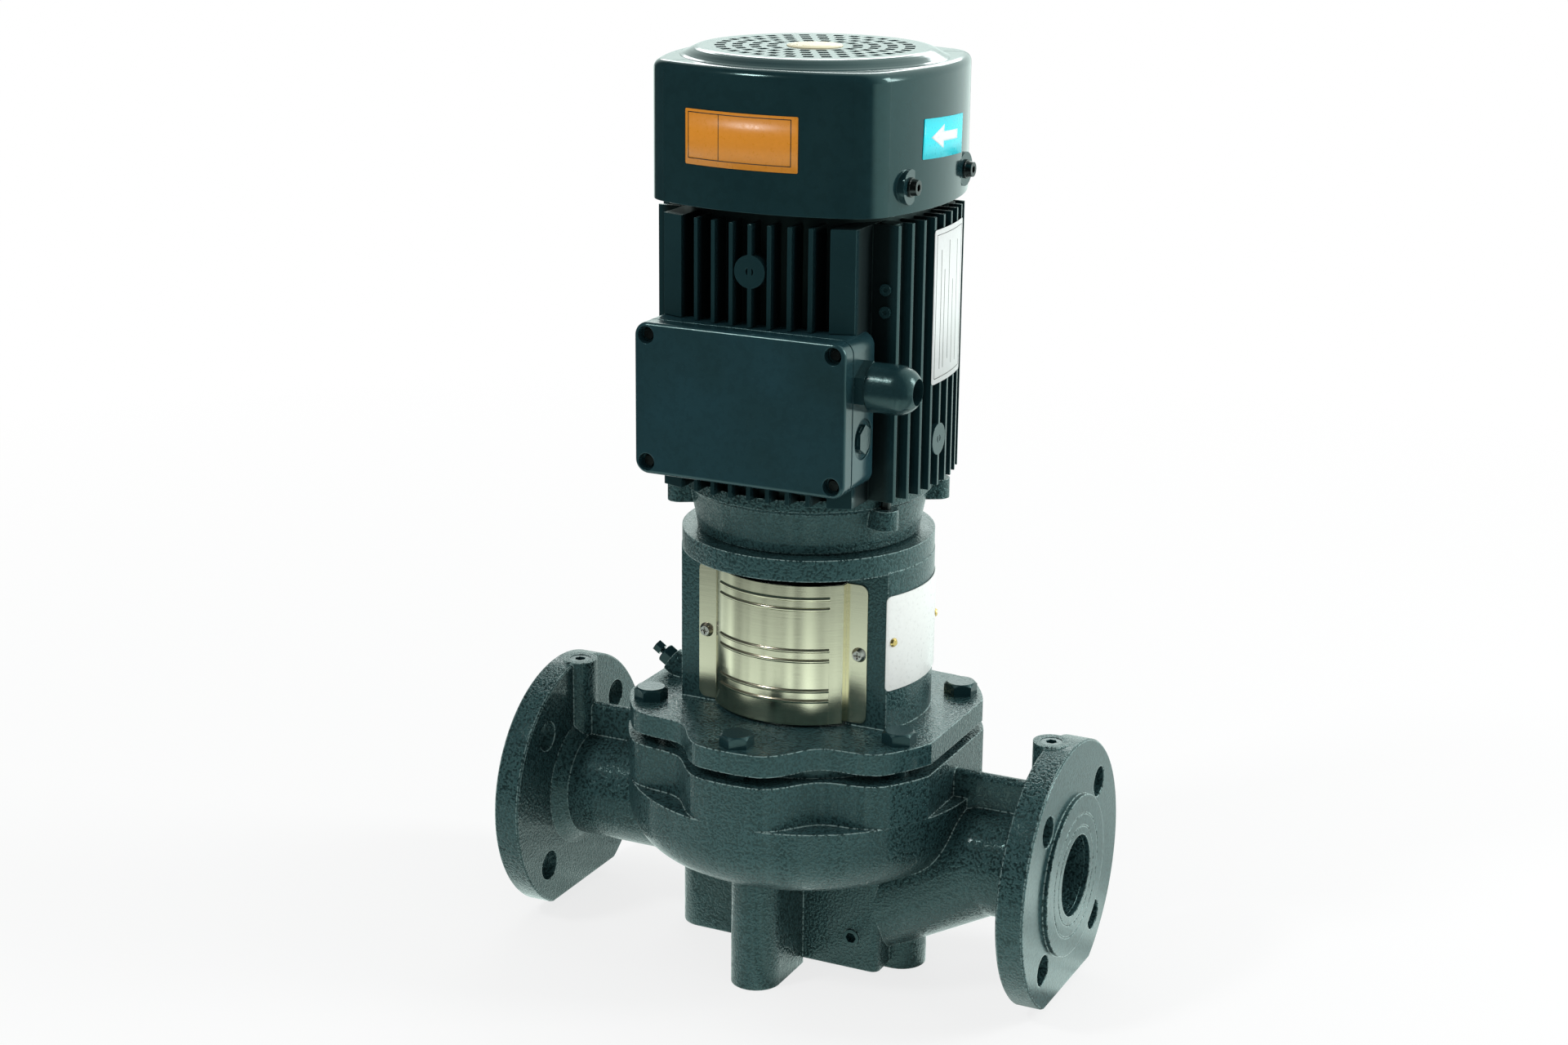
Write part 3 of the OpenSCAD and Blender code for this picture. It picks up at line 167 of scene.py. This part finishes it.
def new_group(name, inputs, outputs):
    """A shader node group with named sockets, and its two ends."""
    group = bpy.data.node_groups.new(name, "ShaderNodeTree")
    for label, kind, value in inputs:
        socket = group.interface.new_socket(label, in_out="INPUT", socket_type="NodeSocket" + kind)
        if value is not None:
            socket.default_value = value
    for label, kind in outputs:
        group.interface.new_socket(label, in_out="OUTPUT", socket_type="NodeSocket" + kind)
    start = group.nodes.new("NodeGroupInput")
    end = group.nodes.new("NodeGroupOutput")
    return group, start, end


class Graph:
    """Adds nodes and links to one tree in short calls."""

    def __init__(self, tree):
        self.tree = tree

    def link(self, first, second):
        self.tree.links.new(first, second)

    def node(self, kind, sockets=None, **settings):
        """A node; each socket, by name or number, gets a link or a value."""
        node = self.tree.nodes.new("ShaderNode" + kind)
        for key, value in settings.items():
            setattr(node, key, value)
        for key, value in (sockets or {}).items():
            if isinstance(value, bpy.types.NodeSocket):
                self.link(value, node.inputs[key])
            else:
                node.inputs[key].default_value = value
        return node

    def math(self, operation, first, second=0.0, third=0.0):
        sockets = {0: first, 1: second, 2: third}
        return self.node("Math", sockets, operation=operation).outputs[0]

    def dot(self, first, second):
        node = self.node("VectorMath", {0: first, 1: second}, operation="DOT_PRODUCT")
        return node.outputs["Value"]

    def ramp(self, value, low, high, first=0.0, last=1.0):
        node = self.node("MapRange", {"Value": value, "From Min": low, "From Max": high,
                                      "To Min": first, "To Max": last})
        return node.outputs["Result"]

    def mix(self, share, first, second):
        """A mix of two colours, each a socket or three numbers."""
        sockets = {0: share}
        for key, value in ((6, first), (7, second)):
            sockets[key] = (*value, 1.0) if isinstance(value, tuple) else value
        return self.node("Mix", sockets, data_type="RGBA").outputs[2]

    def mix_shader(self, share, first, second):
        return self.node("MixShader", {"Fac": share, 1: first, 2: second}).outputs[0]

    def noise(self, vector, scale, detail=3.0, roughness=0.5):
        node = self.node("TexNoise", {"Vector": vector, "Scale": scale, "Detail": detail,
                                      "Roughness": roughness})
        return node.outputs["Fac"]

    def group(self, key, sockets):
        return self.node("Group", sockets, node_tree=GROUPS[key])


def scaled(tint, share):
    return tuple(share * c for c in tint)


def build_cast_skin():
    """Pebbled skin of painted sand castings: shallow round pimples over a slow waviness."""
    group, start, end = new_group(
        "cast skin",
        [("Vector", "Vector", None), ("Grain", "Float", 700.0)],
        [("Height", "Float"), ("Pits", "Float")])
    g = Graph(group)
    fine = g.noise(start.outputs["Vector"], start.outputs["Grain"], 2.0, 0.55)
    slow = g.noise(start.outputs["Vector"], 90.0, 2.0, 0.5)
    pebble = g.ramp(fine, 0.42, 0.68)
    g.link(g.math("MULTIPLY_ADD", slow, 1.2, pebble), end.inputs["Height"])
    g.link(g.ramp(fine, 0.51, 0.41), end.inputs["Pits"])
    return group


def build_soft_edge():
    """Rounded normal along sharp edges, and a mask that is 1 on the edge itself."""
    group, start, end = new_group(
        "soft edge", [("Radius", "Float", 0.001)], [("Normal", "Vector"), ("Mask", "Float")])
    g = Graph(group)
    rounded = g.node("Bevel", {"Radius": start.outputs["Radius"]}, samples=6).outputs["Normal"]
    same = g.dot(rounded, g.node("NewGeometry").outputs["Normal"])
    g.link(rounded, end.inputs["Normal"])
    g.link(g.ramp(same, 0.985, 0.86), end.inputs["Mask"])
    return group


def build_paint_tone():
    """Slow drift between two shades of one paint, with a little dust in it."""
    group, start, end = new_group(
        "paint tone",
        [("Vector", "Vector", None), ("Shade", "Color", (0, 0, 0, 1)),
         ("Light Shade", "Color", (0, 0, 0, 1)), ("Dust", "Float", 0.0)],
        [("Color", "Color"), ("Drift", "Float")])
    g = Graph(group)
    drift = g.noise(start.outputs["Vector"], 14.0, 4.0, 0.6)
    share = g.ramp(drift, 0.35, 0.72)
    toned = g.mix(share, start.outputs["Shade"], start.outputs["Light Shade"])
    specks = g.ramp(g.noise(start.outputs["Vector"], 1900.0, 1.0), 0.68, 0.80)
    dusty = g.math("MULTIPLY", specks, start.outputs["Dust"])
    g.link(g.mix(dusty, toned, DUST_GREY), end.inputs["Color"])
    g.link(drift, end.inputs["Drift"])
    return group


def build_brushing():
    """Fine streaks along one axis of a scaled vector."""
    group, start, end = new_group(
        "brushing", [("Vector", "Vector", None), ("Stretch", "Vector", (1, 1, 1))],
        [("Streak", "Float")])
    g = Graph(group)
    stretched = g.node("VectorMath", {0: start.outputs["Vector"], 1: start.outputs["Stretch"]},
                       operation="MULTIPLY").outputs["Vector"]
    g.link(g.noise(stretched, 1.0, 3.0, 0.65), end.inputs["Streak"])
    return group


GROUPS = {
    "skin": build_cast_skin(),
    "edge": build_soft_edge(),
    "tone": build_paint_tone(),
    "brush": build_brushing(),
}


def new_material(name, roughness=0.5, metallic=0.0):
    """An empty node material: the graph, the shader and the object coordinates."""
    material = bpy.data.materials.new(name)
    material.use_nodes = True
    tree = material.node_tree
    shader = tree.nodes["Principled BSDF"]
    shader.inputs["Roughness"].default_value = roughness
    shader.inputs["Metallic"].default_value = metallic
    g = Graph(tree)
    place = g.node("TexCoord").outputs["Object"]
    return material, g, shader, place


def finish_material(g, shader, colour, rough, normal=None):
    """Links what a material has worked out to its shader."""
    g.link(colour, shader.inputs["Base Color"])
    g.link(rough, shader.inputs["Roughness"])
    if normal:
        g.link(normal, shader.inputs["Normal"])


# Materials

def gloss_paint(name, shade=PETROL, light=PETROL_LIGHT, skin=0.0, grain=700.0, edge=0.8,
                roughness=0.2, dust=0.06, smooth_faces=False, painted_glint=0.0, mottle_and_pit_shade=0.1):
    """Petrol gloss paint. skin is the depth of the cast pebbling in millimetres; the pit share
    sets how dark the painted shade in its pits is, and the glint share how much pale painted
    highlight lies along pebbled edges."""
    material, g, shader, place = new_material(name, roughness)
    tone = g.group("tone", {"Vector": place, "Shade": (*shade, 1), "Light Shade": (*light, 1),
                            "Dust": dust})
    soft = g.group("edge", {"Radius": edge * MM})
    # Edges lightened towards 2.4 times the light shade: edge wear and a painted highlight
    worn_and_highlit = g.math("MULTIPLY", soft.outputs["Mask"], EDGE_WEAR_AND_HIGHLIGHT)
    colour = g.mix(worn_and_highlit, tone.outputs["Color"], scaled(light, 2.4))
    rough = g.ramp(tone.outputs["Drift"], 0.3, 0.7, roughness * 0.8, roughness * 1.3)
    normal = soft.outputs["Normal"]
    if skin:
        pebbles = g.group("skin", {"Vector": place, "Grain": grain})
        depth = pebbles.outputs["Height"]
        if smooth_faces:
            x = g.node("SeparateXYZ", {"Vector": place}).outputs["X"]
            turned = g.ramp(g.math("ABSOLUTE", x), TURNED_FROM, TURNED_FULL, 1.0, TURNED_SKIN)
            depth = g.math("MULTIPLY", depth, turned)
        normal = g.node("Bump", {"Strength": 1.0, "Distance": skin * MM, "Height": depth,
                                 "Normal": normal}).outputs["Normal"]
        # Painted shade: the pebbles' pits are darkened towards a quarter of the shade colour
        colour = g.mix(g.math("MULTIPLY", pebbles.outputs["Pits"], mottle_and_pit_shade), colour,
                       scaled(shade, 0.25))
        # Painted highlight: pale spots on the pebble tops along the edges
        if painted_glint:
            tops = g.math("SUBTRACT", 1.0, pebbles.outputs["Pits"])
            highlight_spots = g.math("MULTIPLY", soft.outputs["Mask"], tops)
            colour = g.mix(g.math("MULTIPLY", highlight_spots, painted_glint), colour, EDGE_HIGHLIGHT_PAINT)
    finish_material(g, shader, colour, rough, normal)
    shader.inputs["Specular Tint"].default_value = (*GLOSS_TINT, 1)
    shader.inputs["Coat Weight"].default_value = COAT_WEIGHT
    shader.inputs["Coat Roughness"].default_value = COAT_ROUGHNESS
    return material


def finned_paint(name):
    """Petrol on the outermost faces of the fins, with a nearly black painted shade in the depths
    between them.
    """
    material, g, shader, place = new_material(name, 0.24)
    axes = g.node("SeparateXYZ", {"Vector": place}).outputs
    reach = []
    for first, second in (("X", "Y"), ("Y", "X")):
        across = g.math("MULTIPLY", axes[second], axes[second])
        bowed = g.math("MULTIPLY_ADD", across, 0.5 / COVER_BOW, g.math("ABSOLUTE", axes[first]))
        reach.append(bowed)
    outer = g.ramp(g.math("MAXIMUM", *reach), FIN_SHADE_FADE_FROM, FIN_SHADE_GONE)
    tone = g.group("tone", {"Vector": place, "Shade": (*PETROL, 1),
                            "Light Shade": (*PETROL_LIGHT, 1), "Dust": 0.04})
    soft = g.group("edge", {"Radius": 0.6 * MM})
    # Painted shade: the fins' depths turn nearly black, petrol only on their outer faces
    colour = g.mix(outer, FIN_DEPTH_SHADE, tone.outputs["Color"])
    # Outer fin edges lightened towards the light shade: edge wear and a painted highlight
    worn_and_highlit = g.math("MULTIPLY", soft.outputs["Mask"], outer)
    colour = g.mix(g.math("MULTIPLY", worn_and_highlit, EDGE_WEAR_AND_HIGHLIGHT), colour, scaled(PETROL_LIGHT, 2.2))
    skin = g.group("skin", {"Vector": place, "Grain": 420.0})
    bump = g.node("Bump", {"Strength": 1.0, "Distance": 0.02 * MM,
                           "Height": skin.outputs["Height"], "Normal": soft.outputs["Normal"]})
    finish_material(g, shader, colour, g.ramp(outer, 0.0, 1.0, 0.42, 0.2), bump.outputs["Normal"])
    shader.inputs["Specular Tint"].default_value = (*GLOSS_TINT, 1)
    return material


def brushed_steel(name, tint=STAINLESS, roughness=0.24, stretch=(40.0, 40.0, 2600.0), edge=0.3):
    """Brushed sheet; the streaks run across the axis with the largest stretch."""
    material, g, shader, place = new_material(name, roughness, 1.0)
    streak = g.group("brush", {"Vector": place, "Stretch": stretch}).outputs["Streak"]
    soft = g.group("edge", {"Radius": edge * MM})
    colour = g.mix(g.ramp(streak, 0.3, 0.7), scaled(tint, 0.88), tint)
    bump = g.node("Bump", {"Strength": 0.35, "Distance": 0.02 * MM, "Height": streak,
                           "Normal": soft.outputs["Normal"]})
    rough = g.ramp(streak, 0.3, 0.7, roughness * 0.8, roughness * 1.25)
    finish_material(g, shader, colour, rough, bump.outputs["Normal"])
    return material


def plain_metal(name, tint, roughness=0.3, edge=0.25):
    """Turned or forged metal with faint smudges."""
    material, g, shader, place = new_material(name, roughness, 1.0)
    smudge = g.noise(place, 160.0, 4.0, 0.6)
    soft = g.group("edge", {"Radius": edge * MM})
    # Painted highlight: the edges are lightened towards a paler tint
    bright = g.math("MULTIPLY", soft.outputs["Mask"], 0.5)
    colour = g.mix(g.ramp(smudge, 0.35, 0.7), scaled(tint, 0.8), tint)
    colour = g.mix(bright, colour, tuple(min(1.0, 1.5 * c + 0.05) for c in tint))
    rough = g.ramp(smudge, 0.3, 0.75, roughness * 0.75, roughness * 1.4)
    finish_material(g, shader, colour, rough, soft.outputs["Normal"])
    return material


def plain_solid(name, tint, roughness=0.6, grain=900.0, depth=0.03):
    """Rubber, plastic, carbon or winding with a fine grain."""
    material, g, shader, place = new_material(name, roughness)
    height = g.noise(place, grain, 3.0, 0.6)
    colour = g.mix(g.ramp(height, 0.35, 0.7), scaled(tint, 0.75), tint)
    bump = g.node("Bump", {"Strength": 0.5, "Distance": depth * MM, "Height": height})
    rough = g.ramp(height, 0.3, 0.7, roughness * 0.85, min(1.0, roughness * 1.15))
    finish_material(g, shader, colour, rough, bump.outputs["Normal"])
    return material


def printed_film(name, tint, roughness=0.35):
    """Printed label film: even colour, faint mottling and a soft satin."""
    material, g, shader, place = new_material(name, roughness)
    mottle_and_pit_shade = g.noise(place, 420.0, 3.0, 0.6)
    colour = g.mix(g.ramp(mottle_and_pit_shade, 0.3, 0.75), scaled(tint, 0.93), tint)
    rough = g.ramp(mottle_and_pit_shade, 0.3, 0.7, roughness * 0.85, roughness * 1.2)
    finish_material(g, shader, colour, rough)
    return material


MATERIALS = {
    "cast petrol": gloss_paint("cast petrol", CAST_SHADE, CAST_LIGHT, skin=0.34, grain=620.0,
                               edge=1.4, roughness=0.18, smooth_faces=True, painted_glint=0.9,
                               mottle_and_pit_shade=0.85),
    "stool petrol": gloss_paint("stool petrol", CAST_SHADE, CAST_LIGHT, skin=0.20, grain=600.0,
                                edge=1.2, roughness=0.16, painted_glint=0.8, mottle_and_pit_shade=0.7),
    "neck petrol": gloss_paint("neck petrol", CAST_SHADE, CAST_LIGHT, skin=0.30, grain=640.0,
                               edge=1.0, roughness=0.18, painted_glint=0.7, mottle_and_pit_shade=0.8),
    "fin petrol": finned_paint("fin petrol"),
    "cover petrol": gloss_paint("cover petrol", roughness=0.13, edge=0.5, dust=0.03, skin=0.01,
                                grain=160.0),
    "box petrol": gloss_paint("box petrol", (0.015, 0.048, 0.06), PETROL_LIGHT, roughness=0.2,
                              edge=0.8, dust=0.05, skin=0.015, grain=260.0),
    "hardware petrol": gloss_paint("hardware petrol", roughness=0.22, edge=0.5, skin=0.03,
                                   grain=500.0),
    "stainless": brushed_steel("stainless", roughness=0.20),
    "blackened screw": plain_metal("blackened screw", (0.06, 0.07, 0.07), 0.28),
    "zinc screw": plain_metal("zinc screw", (0.62, 0.60, 0.56), 0.26),
    "ground steel": plain_metal("ground steel", (0.66, 0.66, 0.65), 0.18),
    "bronze": plain_metal("bronze", (0.62, 0.42, 0.18), 0.34),
    "brass": plain_metal("brass", (0.80, 0.58, 0.22), 0.28),
    "coupling iron": plain_metal("coupling iron", (0.16, 0.16, 0.17), 0.42),
    "core steel": brushed_steel("core steel", (0.36, 0.36, 0.38), 0.4, (30.0, 30.0, 2200.0)),
    "copper": plain_solid("copper", (0.45, 0.17, 0.06), 0.35, 500.0, 0.1),
    "rubber": plain_solid("rubber", (0.018, 0.018, 0.019), 0.65),
    "carbon": plain_solid("carbon", (0.04, 0.04, 0.042), 0.45),
    "fan plastic": plain_solid("fan plastic", (0.03, 0.032, 0.034), 0.5),
    "board": plain_solid("board", (0.16, 0.055, 0.025), 0.45),
    "plate white": printed_film("plate white", LABEL_WHITE, 0.3),
    "orange film": printed_film("orange film", LABEL_ORANGE, 0.3),
    "cyan film": printed_film("cyan film", LABEL_CYAN, 0.3),
    "white film": printed_film("white film", (0.82, 0.85, 0.84), 0.35),
    "ink": printed_film("ink", LABEL_INK, 0.4),
    "white print": printed_film("white print", (0.85, 0.88, 0.88), 0.3),
    "cream": printed_film("cream", (0.86, 0.80, 0.55), 0.45),
}

NODE_MATERIALS = {
    "cast petrol": "volute_casing",
    "stool petrol": "motor_stool casing_cover",
    "neck petrol": "lower_end_shield upper_end_shield",
    "fin petrol": "stator_housing",
    "cover petrol": "fan_cover",
    "box petrol": "terminal_box_base terminal_box_lid",
    "hardware petrol": "casing_bolts gauge_plugs drain_plug vent_plug vent_screw blanking_plug "
                       "cable_gland_body gland_nut frame_screws",
    "stainless": "coupling_guard_front coupling_guard_rear",
    "blackened screw": "lid_screws fan_cover_screws tie_bolts",
    "zinc screw": "guard_screws motor_screws impeller_nut impeller_key coupling_screws",
    "ground steel": "pump_shaft motor_shaft lower_bearing_outer upper_bearing_outer "
                    "lower_bearing_inner upper_bearing_inner bearing_balls",
    "bronze": "wear_ring impeller",
    "brass": "plate_rivets terminal_studs",
    "coupling iron": "coupling_half_left coupling_half_right",
    "core steel": "stator_core rotor_core",
    "copper": "stator_windings",
    "rubber": "cover_o_ring seal_bellows lid_gasket gland_seal",
    "carbon": "seal_seat seal_head",
    "fan plastic": "cooling_fan",
    "board": "terminal_board",
    "plate white": "name_plate",
}


def dress_nodes():
    for key, names in NODE_MATERIALS.items():
        for name in names.split():
            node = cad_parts[name]
            node.data.materials.clear()
            node.data.materials.append(MATERIALS[key])


# Pieces

def finish_piece(mesh, name, material, body="root", bevel=0.0):
    """Makes the bmesh an object with one material that rides on a body."""
    bmesh.ops.remove_doubles(mesh, verts=mesh.verts, dist=1e-6)
    bmesh.ops.recalc_face_normals(mesh, faces=mesh.faces)
    data = bpy.data.meshes.new(name)
    mesh.to_mesh(data)
    mesh.free()
    for face in data.polygons:
        face.use_smooth = True
    piece = bpy.data.objects.new(name, data)
    bpy.context.scene.collection.objects.link(piece)
    data.materials.append(MATERIALS[material])
    if bevel:
        modifier = piece.modifiers.new("bevel", "BEVEL")
        modifier.width = bevel
        modifier.segments = 2
    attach(piece, body)
    return piece


def raised(points):
    """Points along a side and above the ports' axis, with their heights over the ground."""
    return [(along, PORT_H + height) for along, height in points]


def flat_sheet(low, high, columns, rows):
    """A grid without thickness in the XY plane, from low to high."""
    mesh = bmesh.new()
    bmesh.ops.create_grid(mesh, x_segments=columns, y_segments=rows, size=0.5)
    size = Vector(high) - Vector(low)
    middle = (Vector(low) + Vector(high)) / 2
    bmesh.ops.scale(mesh, vec=(size.x, size.y, 1), verts=mesh.verts)
    bmesh.ops.translate(mesh, vec=(middle.x, middle.y, 0), verts=mesh.verts)
    return mesh


def rounded_sheet(low, high, corner, strips):
    """A flat sheet with rounded corners, cut into strips along x so that it can be bent."""
    mesh = flat_sheet(low, high, 1, 1)
    bmesh.ops.bevel(mesh, geom=mesh.verts[:], offset=corner, offset_type="OFFSET", segments=5,
                    profile=0.5, affect="VERTICES", material=-1)
    width = (Vector(high) - Vector(low)).x
    for k in range(1, strips):
        bmesh.ops.bisect_plane(mesh, geom=mesh.verts[:] + mesh.edges[:] + mesh.faces[:],
                               plane_co=(low[0] + width * k / strips, 0, 0), plane_no=(1, 0, 0))
    return mesh


def tilt_sheet(mesh, centre, tilt):
    bmesh.ops.rotate(mesh, cent=(*centre, 0), matrix=Matrix.Rotation(tilt, 3, "Z"),
                     verts=mesh.verts)


def thicken(mesh, wall):
    """Gives a flat sheet its wall, upwards along z."""
    extruded = bmesh.ops.extrude_face_region(mesh, geom=mesh.faces[:])
    top = [v for v in extruded["geom"] if isinstance(v, bmesh.types.BMVert)]
    bmesh.ops.translate(mesh, vec=(0, 0, wall), verts=top)


def onto_side(mesh, turn, lift, reach):
    """Wraps a sheet whose x runs along a side and y is the height onto the bowed side."""
    spin = Matrix.Rotation(turn, 3, "Z")
    for vert in mesh.verts:
        along, height, out = vert.co
        bowed = math.sqrt(COVER_BOW * COVER_BOW - along * along)
        depth = reach - COVER_BOW + bowed + lift + out
        vert.co = spin @ Vector((along, -depth, height))


def film(name, area, turn, lift, material, corner=FILM_CORNER, reach=COVER_REACH, tilt=0.0):
    """A film label on a bowed side."""
    low, high = raised(area)
    mesh = rounded_sheet(low, high, corner, FILM_STRIPS)
    tilt_sheet(mesh, ((low[0] + high[0]) / 2, (low[1] + high[1]) / 2), tilt)
    thicken(mesh, FILM_WALL)
    onto_side(mesh, turn, lift, reach)
    return finish_piece(mesh, name, material, "root")


def frame_lines(name, area, turn, lift, width, extra, reach=COVER_REACH):
    """Thin printed lines: a frame round the area and the extra strips, on a bowed side."""
    (x0, z0), (x1, z1) = raised(area)
    strips = [((x0, z0), (x1, z0 + width)), ((x0, z1 - width), (x1, z1)),
              ((x0, z0), (x0 + width, z1)), ((x1 - width, z0), (x1, z1)), *map(raised, extra)]
    mesh = bmesh.new()
    for low, high in strips:
        sheet = flat_sheet(low, high, LINE_STRIPS, 1)
        strip = bpy.data.meshes.new("strip")
        sheet.to_mesh(strip)
        sheet.free()
        mesh.from_mesh(strip)
        bpy.data.meshes.remove(strip)
    thicken(mesh, PRINT_WALL)
    onto_side(mesh, turn, lift, reach)
    return finish_piece(mesh, name, "ink", "root")


def arrow_print():
    """A plain arrow that shows the sense of rotation, on the cover's right side."""
    mesh = bmesh.new()
    centre = raised([ARROW_MIDDLE])[0]
    half = ARROW_LENGTH / 2
    head = ARROW_HEAD * ARROW_LENGTH
    barb, shaft = ARROW_BARB * ARROW_LENGTH, ARROW_SHAFT * ARROW_LENGTH
    outline = [(-half, 0), (-half + head, barb), (-half + head, shaft), (half, shaft),
               (half, -shaft), (-half + head, -shaft), (-half + head, -barb)]
    mesh.faces.new([mesh.verts.new((centre[0] + u, centre[1] + v, 0)) for u, v in outline])
    bmesh.ops.triangulate(mesh, faces=mesh.faces[:])
    bmesh.ops.subdivide_edges(mesh, edges=mesh.edges[:], cuts=3, use_grid_fill=True)
    tilt_sheet(mesh, centre, ARROW_TILT)
    thicken(mesh, PRINT_WALL)
    onto_side(mesh, RIGHT, COVER_PRINT_LIFT, COVER_REACH)
    return finish_piece(mesh, "arrow_print", "white print", "root")


def centre_disc():
    """Cream disc in the middle of the grille."""
    mesh = bmesh.new()
    bmesh.ops.create_cone(mesh, cap_ends=True, segments=64, radius1=DISC_LOW_R,
                          radius2=DISC_TOP_R, depth=DISC_WALL,
                          matrix=Matrix.Translation((0, 0, COVER_TOP + DISC_WALL / 2)))
    return finish_piece(mesh, "grille_centre_disc", "cream", "root")


def name_sheet():
    """Curved name plate with rounded corners, riveted to the stool's right column."""
    half = PLATE_SPAN * PLATE_R / 2
    mesh = rounded_sheet((-half, PLATE_LOW), (half, PLATE_LOW + PLATE_HIGH), PLATE_CORNER,
                         PLATE_STRIPS)
    thicken(mesh, PLATE_WALL)
    for vert in mesh.verts:
        along, height, out = vert.co
        turn = along / PLATE_R
        reach = PLATE_R + out
        vert.co = (reach * math.cos(turn), reach * math.sin(turn), height)
    piece = finish_piece(mesh, "name_sheet", "plate white", "root",
                         bevel=PLATE_BEVEL)
    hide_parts("name_plate")
    return piece


def build_labels():
    film("orange_label", ORANGE_AREA, FRONT, COVER_FILM_LIFT, "orange film")
    frame_lines("orange_label_lines", ORANGE_FRAME, FRONT, COVER_PRINT_LIFT, ORANGE_LINE,
                [ORANGE_DIVIDE])
    film("arrow_label", CYAN_AREA, RIGHT, COVER_FILM_LIFT, "cyan film", tilt=ARROW_TILT)
    arrow_print()
    film("side_label", WHITE_AREA, RIGHT, FIN_FILM_LIFT, "white film", WHITE_CORNER, FIN_REACH)
    rules = [((x, low), (x + RULE_WIDTH, high)) for x, low, high in WHITE_RULES]
    frame_lines("side_label_lines", WHITE_FRAME, RIGHT, FIN_PRINT_LIFT, WHITE_LINE, rules,
                FIN_REACH)
    centre_disc()
    name_sheet()


# Floor, light and camera

def backdrop_level(g, way, reach):
    """Brightness of the studio as gloss mirrors it: dark in front, white behind and right."""
    return g.ramp(g.dot(way, BRIGHT_WAY), *reach, MIRROR_DARK, MIRROR_BRIGHT)


def build_floor():
    """Pale floor: white where the camera sees it, with soft shadows near the pump, and a
    bright table with uneven bands where gloss mirrors it."""
    mesh = bmesh.new()
    bmesh.ops.create_grid(mesh, x_segments=2, y_segments=2, size=FLOOR_HALF)
    data = bpy.data.meshes.new("floor")
    mesh.to_mesh(data)
    mesh.free()
    floor = bpy.data.objects.new("floor", data)
    bpy.context.scene.collection.objects.link(floor)
    material = bpy.data.materials.new("pale floor")
    material.use_nodes = True
    tree = material.node_tree
    tree.nodes.clear()
    g = Graph(tree)
    rays = g.node("LightPath").outputs
    place = g.node("TexCoord").outputs["Object"]
    away = g.node("VectorMath", {"Vector": place}, operation="LENGTH").outputs["Value"]

    lit = g.node("BsdfDiffuse", {"Color": (0.86, 0.87, 0.87, 1)}).outputs[0]
    glow = g.node("Emission", {"Color": (1, 1, 1, 1), "Strength": 1.0}).outputs[0]
    fade = g.ramp(away, FADE_FROM, FADE_FULL, FADE_NEAR, 1.0)
    seen = g.mix_shader(g.math("MULTIPLY", rays["Is Camera Ray"], fade), lit, glow)

    table = g.ramp(away, TABLE_FROM, TABLE_END, MIRROR_TABLE, MIRROR_DARK)
    axes = g.node("SeparateXYZ", {"Vector": place}).outputs
    bearing = g.math("ARCTAN2", axes["Y"], axes["X"])
    bands = g.node("TexNoise", {"W": bearing, "Scale": BAND_SCALE, "Detail": 2.0},
                   noise_dimensions="1D").outputs["Fac"]
    table = g.math("MULTIPLY", table, g.ramp(bands, BAND_FROM, BAND_FULL, BAND_DARK, BAND_BRIGHT))
    level = g.math("MAXIMUM", backdrop_level(g, place, FLOOR_REACH), table)
    mirrored = g.node("Emission", {"Color": (*MIRROR_TINT, 1), "Strength": level}).outputs[0]

    whole = g.mix_shader(rays["Is Glossy Ray"], seen, mirrored)
    g.node("OutputMaterial", {"Surface": whole})
    data.materials.append(material)


def build_world():
    """White to the camera, soft daylight on the pump, and the dark and bright ends of the
    studio where gloss mirrors it."""
    world = bpy.data.worlds.new("studio")
    bpy.context.scene.world = world
    world.use_nodes = True
    tree = world.node_tree
    tree.nodes.clear()
    g = Graph(tree)
    rays = g.node("LightPath").outputs
    way = g.node("TexCoord").outputs["Generated"]
    seen = g.node("Background", {"Color": (1, 1, 1, 1), "Strength": 1.0}).outputs[0]
    lit = g.node("Background", {"Color": (0.97, 1.0, 0.99, 1), "Strength": 0.55}).outputs[0]
    level = backdrop_level(g, way, WORLD_REACH)
    mirrored = g.node("Background", {"Color": (*MIRROR_TINT, 1), "Strength": level}).outputs[0]
    around = g.mix_shader(rays["Is Glossy Ray"], lit, mirrored)
    whole = g.mix_shader(rays["Is Camera Ray"], around, seen)
    g.node("OutputWorld", {"Surface": whole})


def area_light(name, place, size, power):
    light = bpy.data.lights.new(name, "AREA")
    light.shape = "RECTANGLE"
    light.size, light.size_y = size
    light.energy = power
    lamp = bpy.data.objects.new(name, light)
    bpy.context.scene.collection.objects.link(lamp)
    lamp.location = place
    ahead = Vector(LAMP_TARGET) - Vector(place)
    lamp.rotation_euler = ahead.to_track_quat("-Z", "Y").to_euler()


def build_light():
    build_world()
    for lamp in LAMPS:
        area_light(*lamp)


def build_camera():
    ca, sa = math.cos(CAMERA_YAW), math.sin(CAMERA_YAW)
    cp, sp = math.cos(CAMERA_PITCH), math.sin(CAMERA_PITCH)
    cr, sr = math.cos(CAMERA_ROLL), math.sin(CAMERA_ROLL)
    ahead = Vector((-sa * cp, ca * cp, -sp))
    right = Vector((ca, sa, 0))
    up = right.cross(ahead)
    right, up = cr * right + sr * up, -sr * right + cr * up
    data = bpy.data.cameras.new("camera")
    data.lens = CAMERA_LENS
    data.sensor_fit = "HORIZONTAL"
    data.sensor_width = CAMERA_SENSOR
    data.clip_start, data.clip_end = CAMERA_CLIP
    camera = bpy.data.objects.new("camera", data)
    bpy.context.scene.collection.objects.link(camera)
    turn = Matrix((right, up, -ahead)).transposed()
    camera.matrix_world = Matrix.Translation(CAMERA_PLACE) @ turn.to_4x4()
    bpy.context.scene.camera = camera
    bpy.context.scene.view_settings.view_transform = "Standard"


build_camera()
dress_nodes()
build_labels()
build_floor()
build_light()
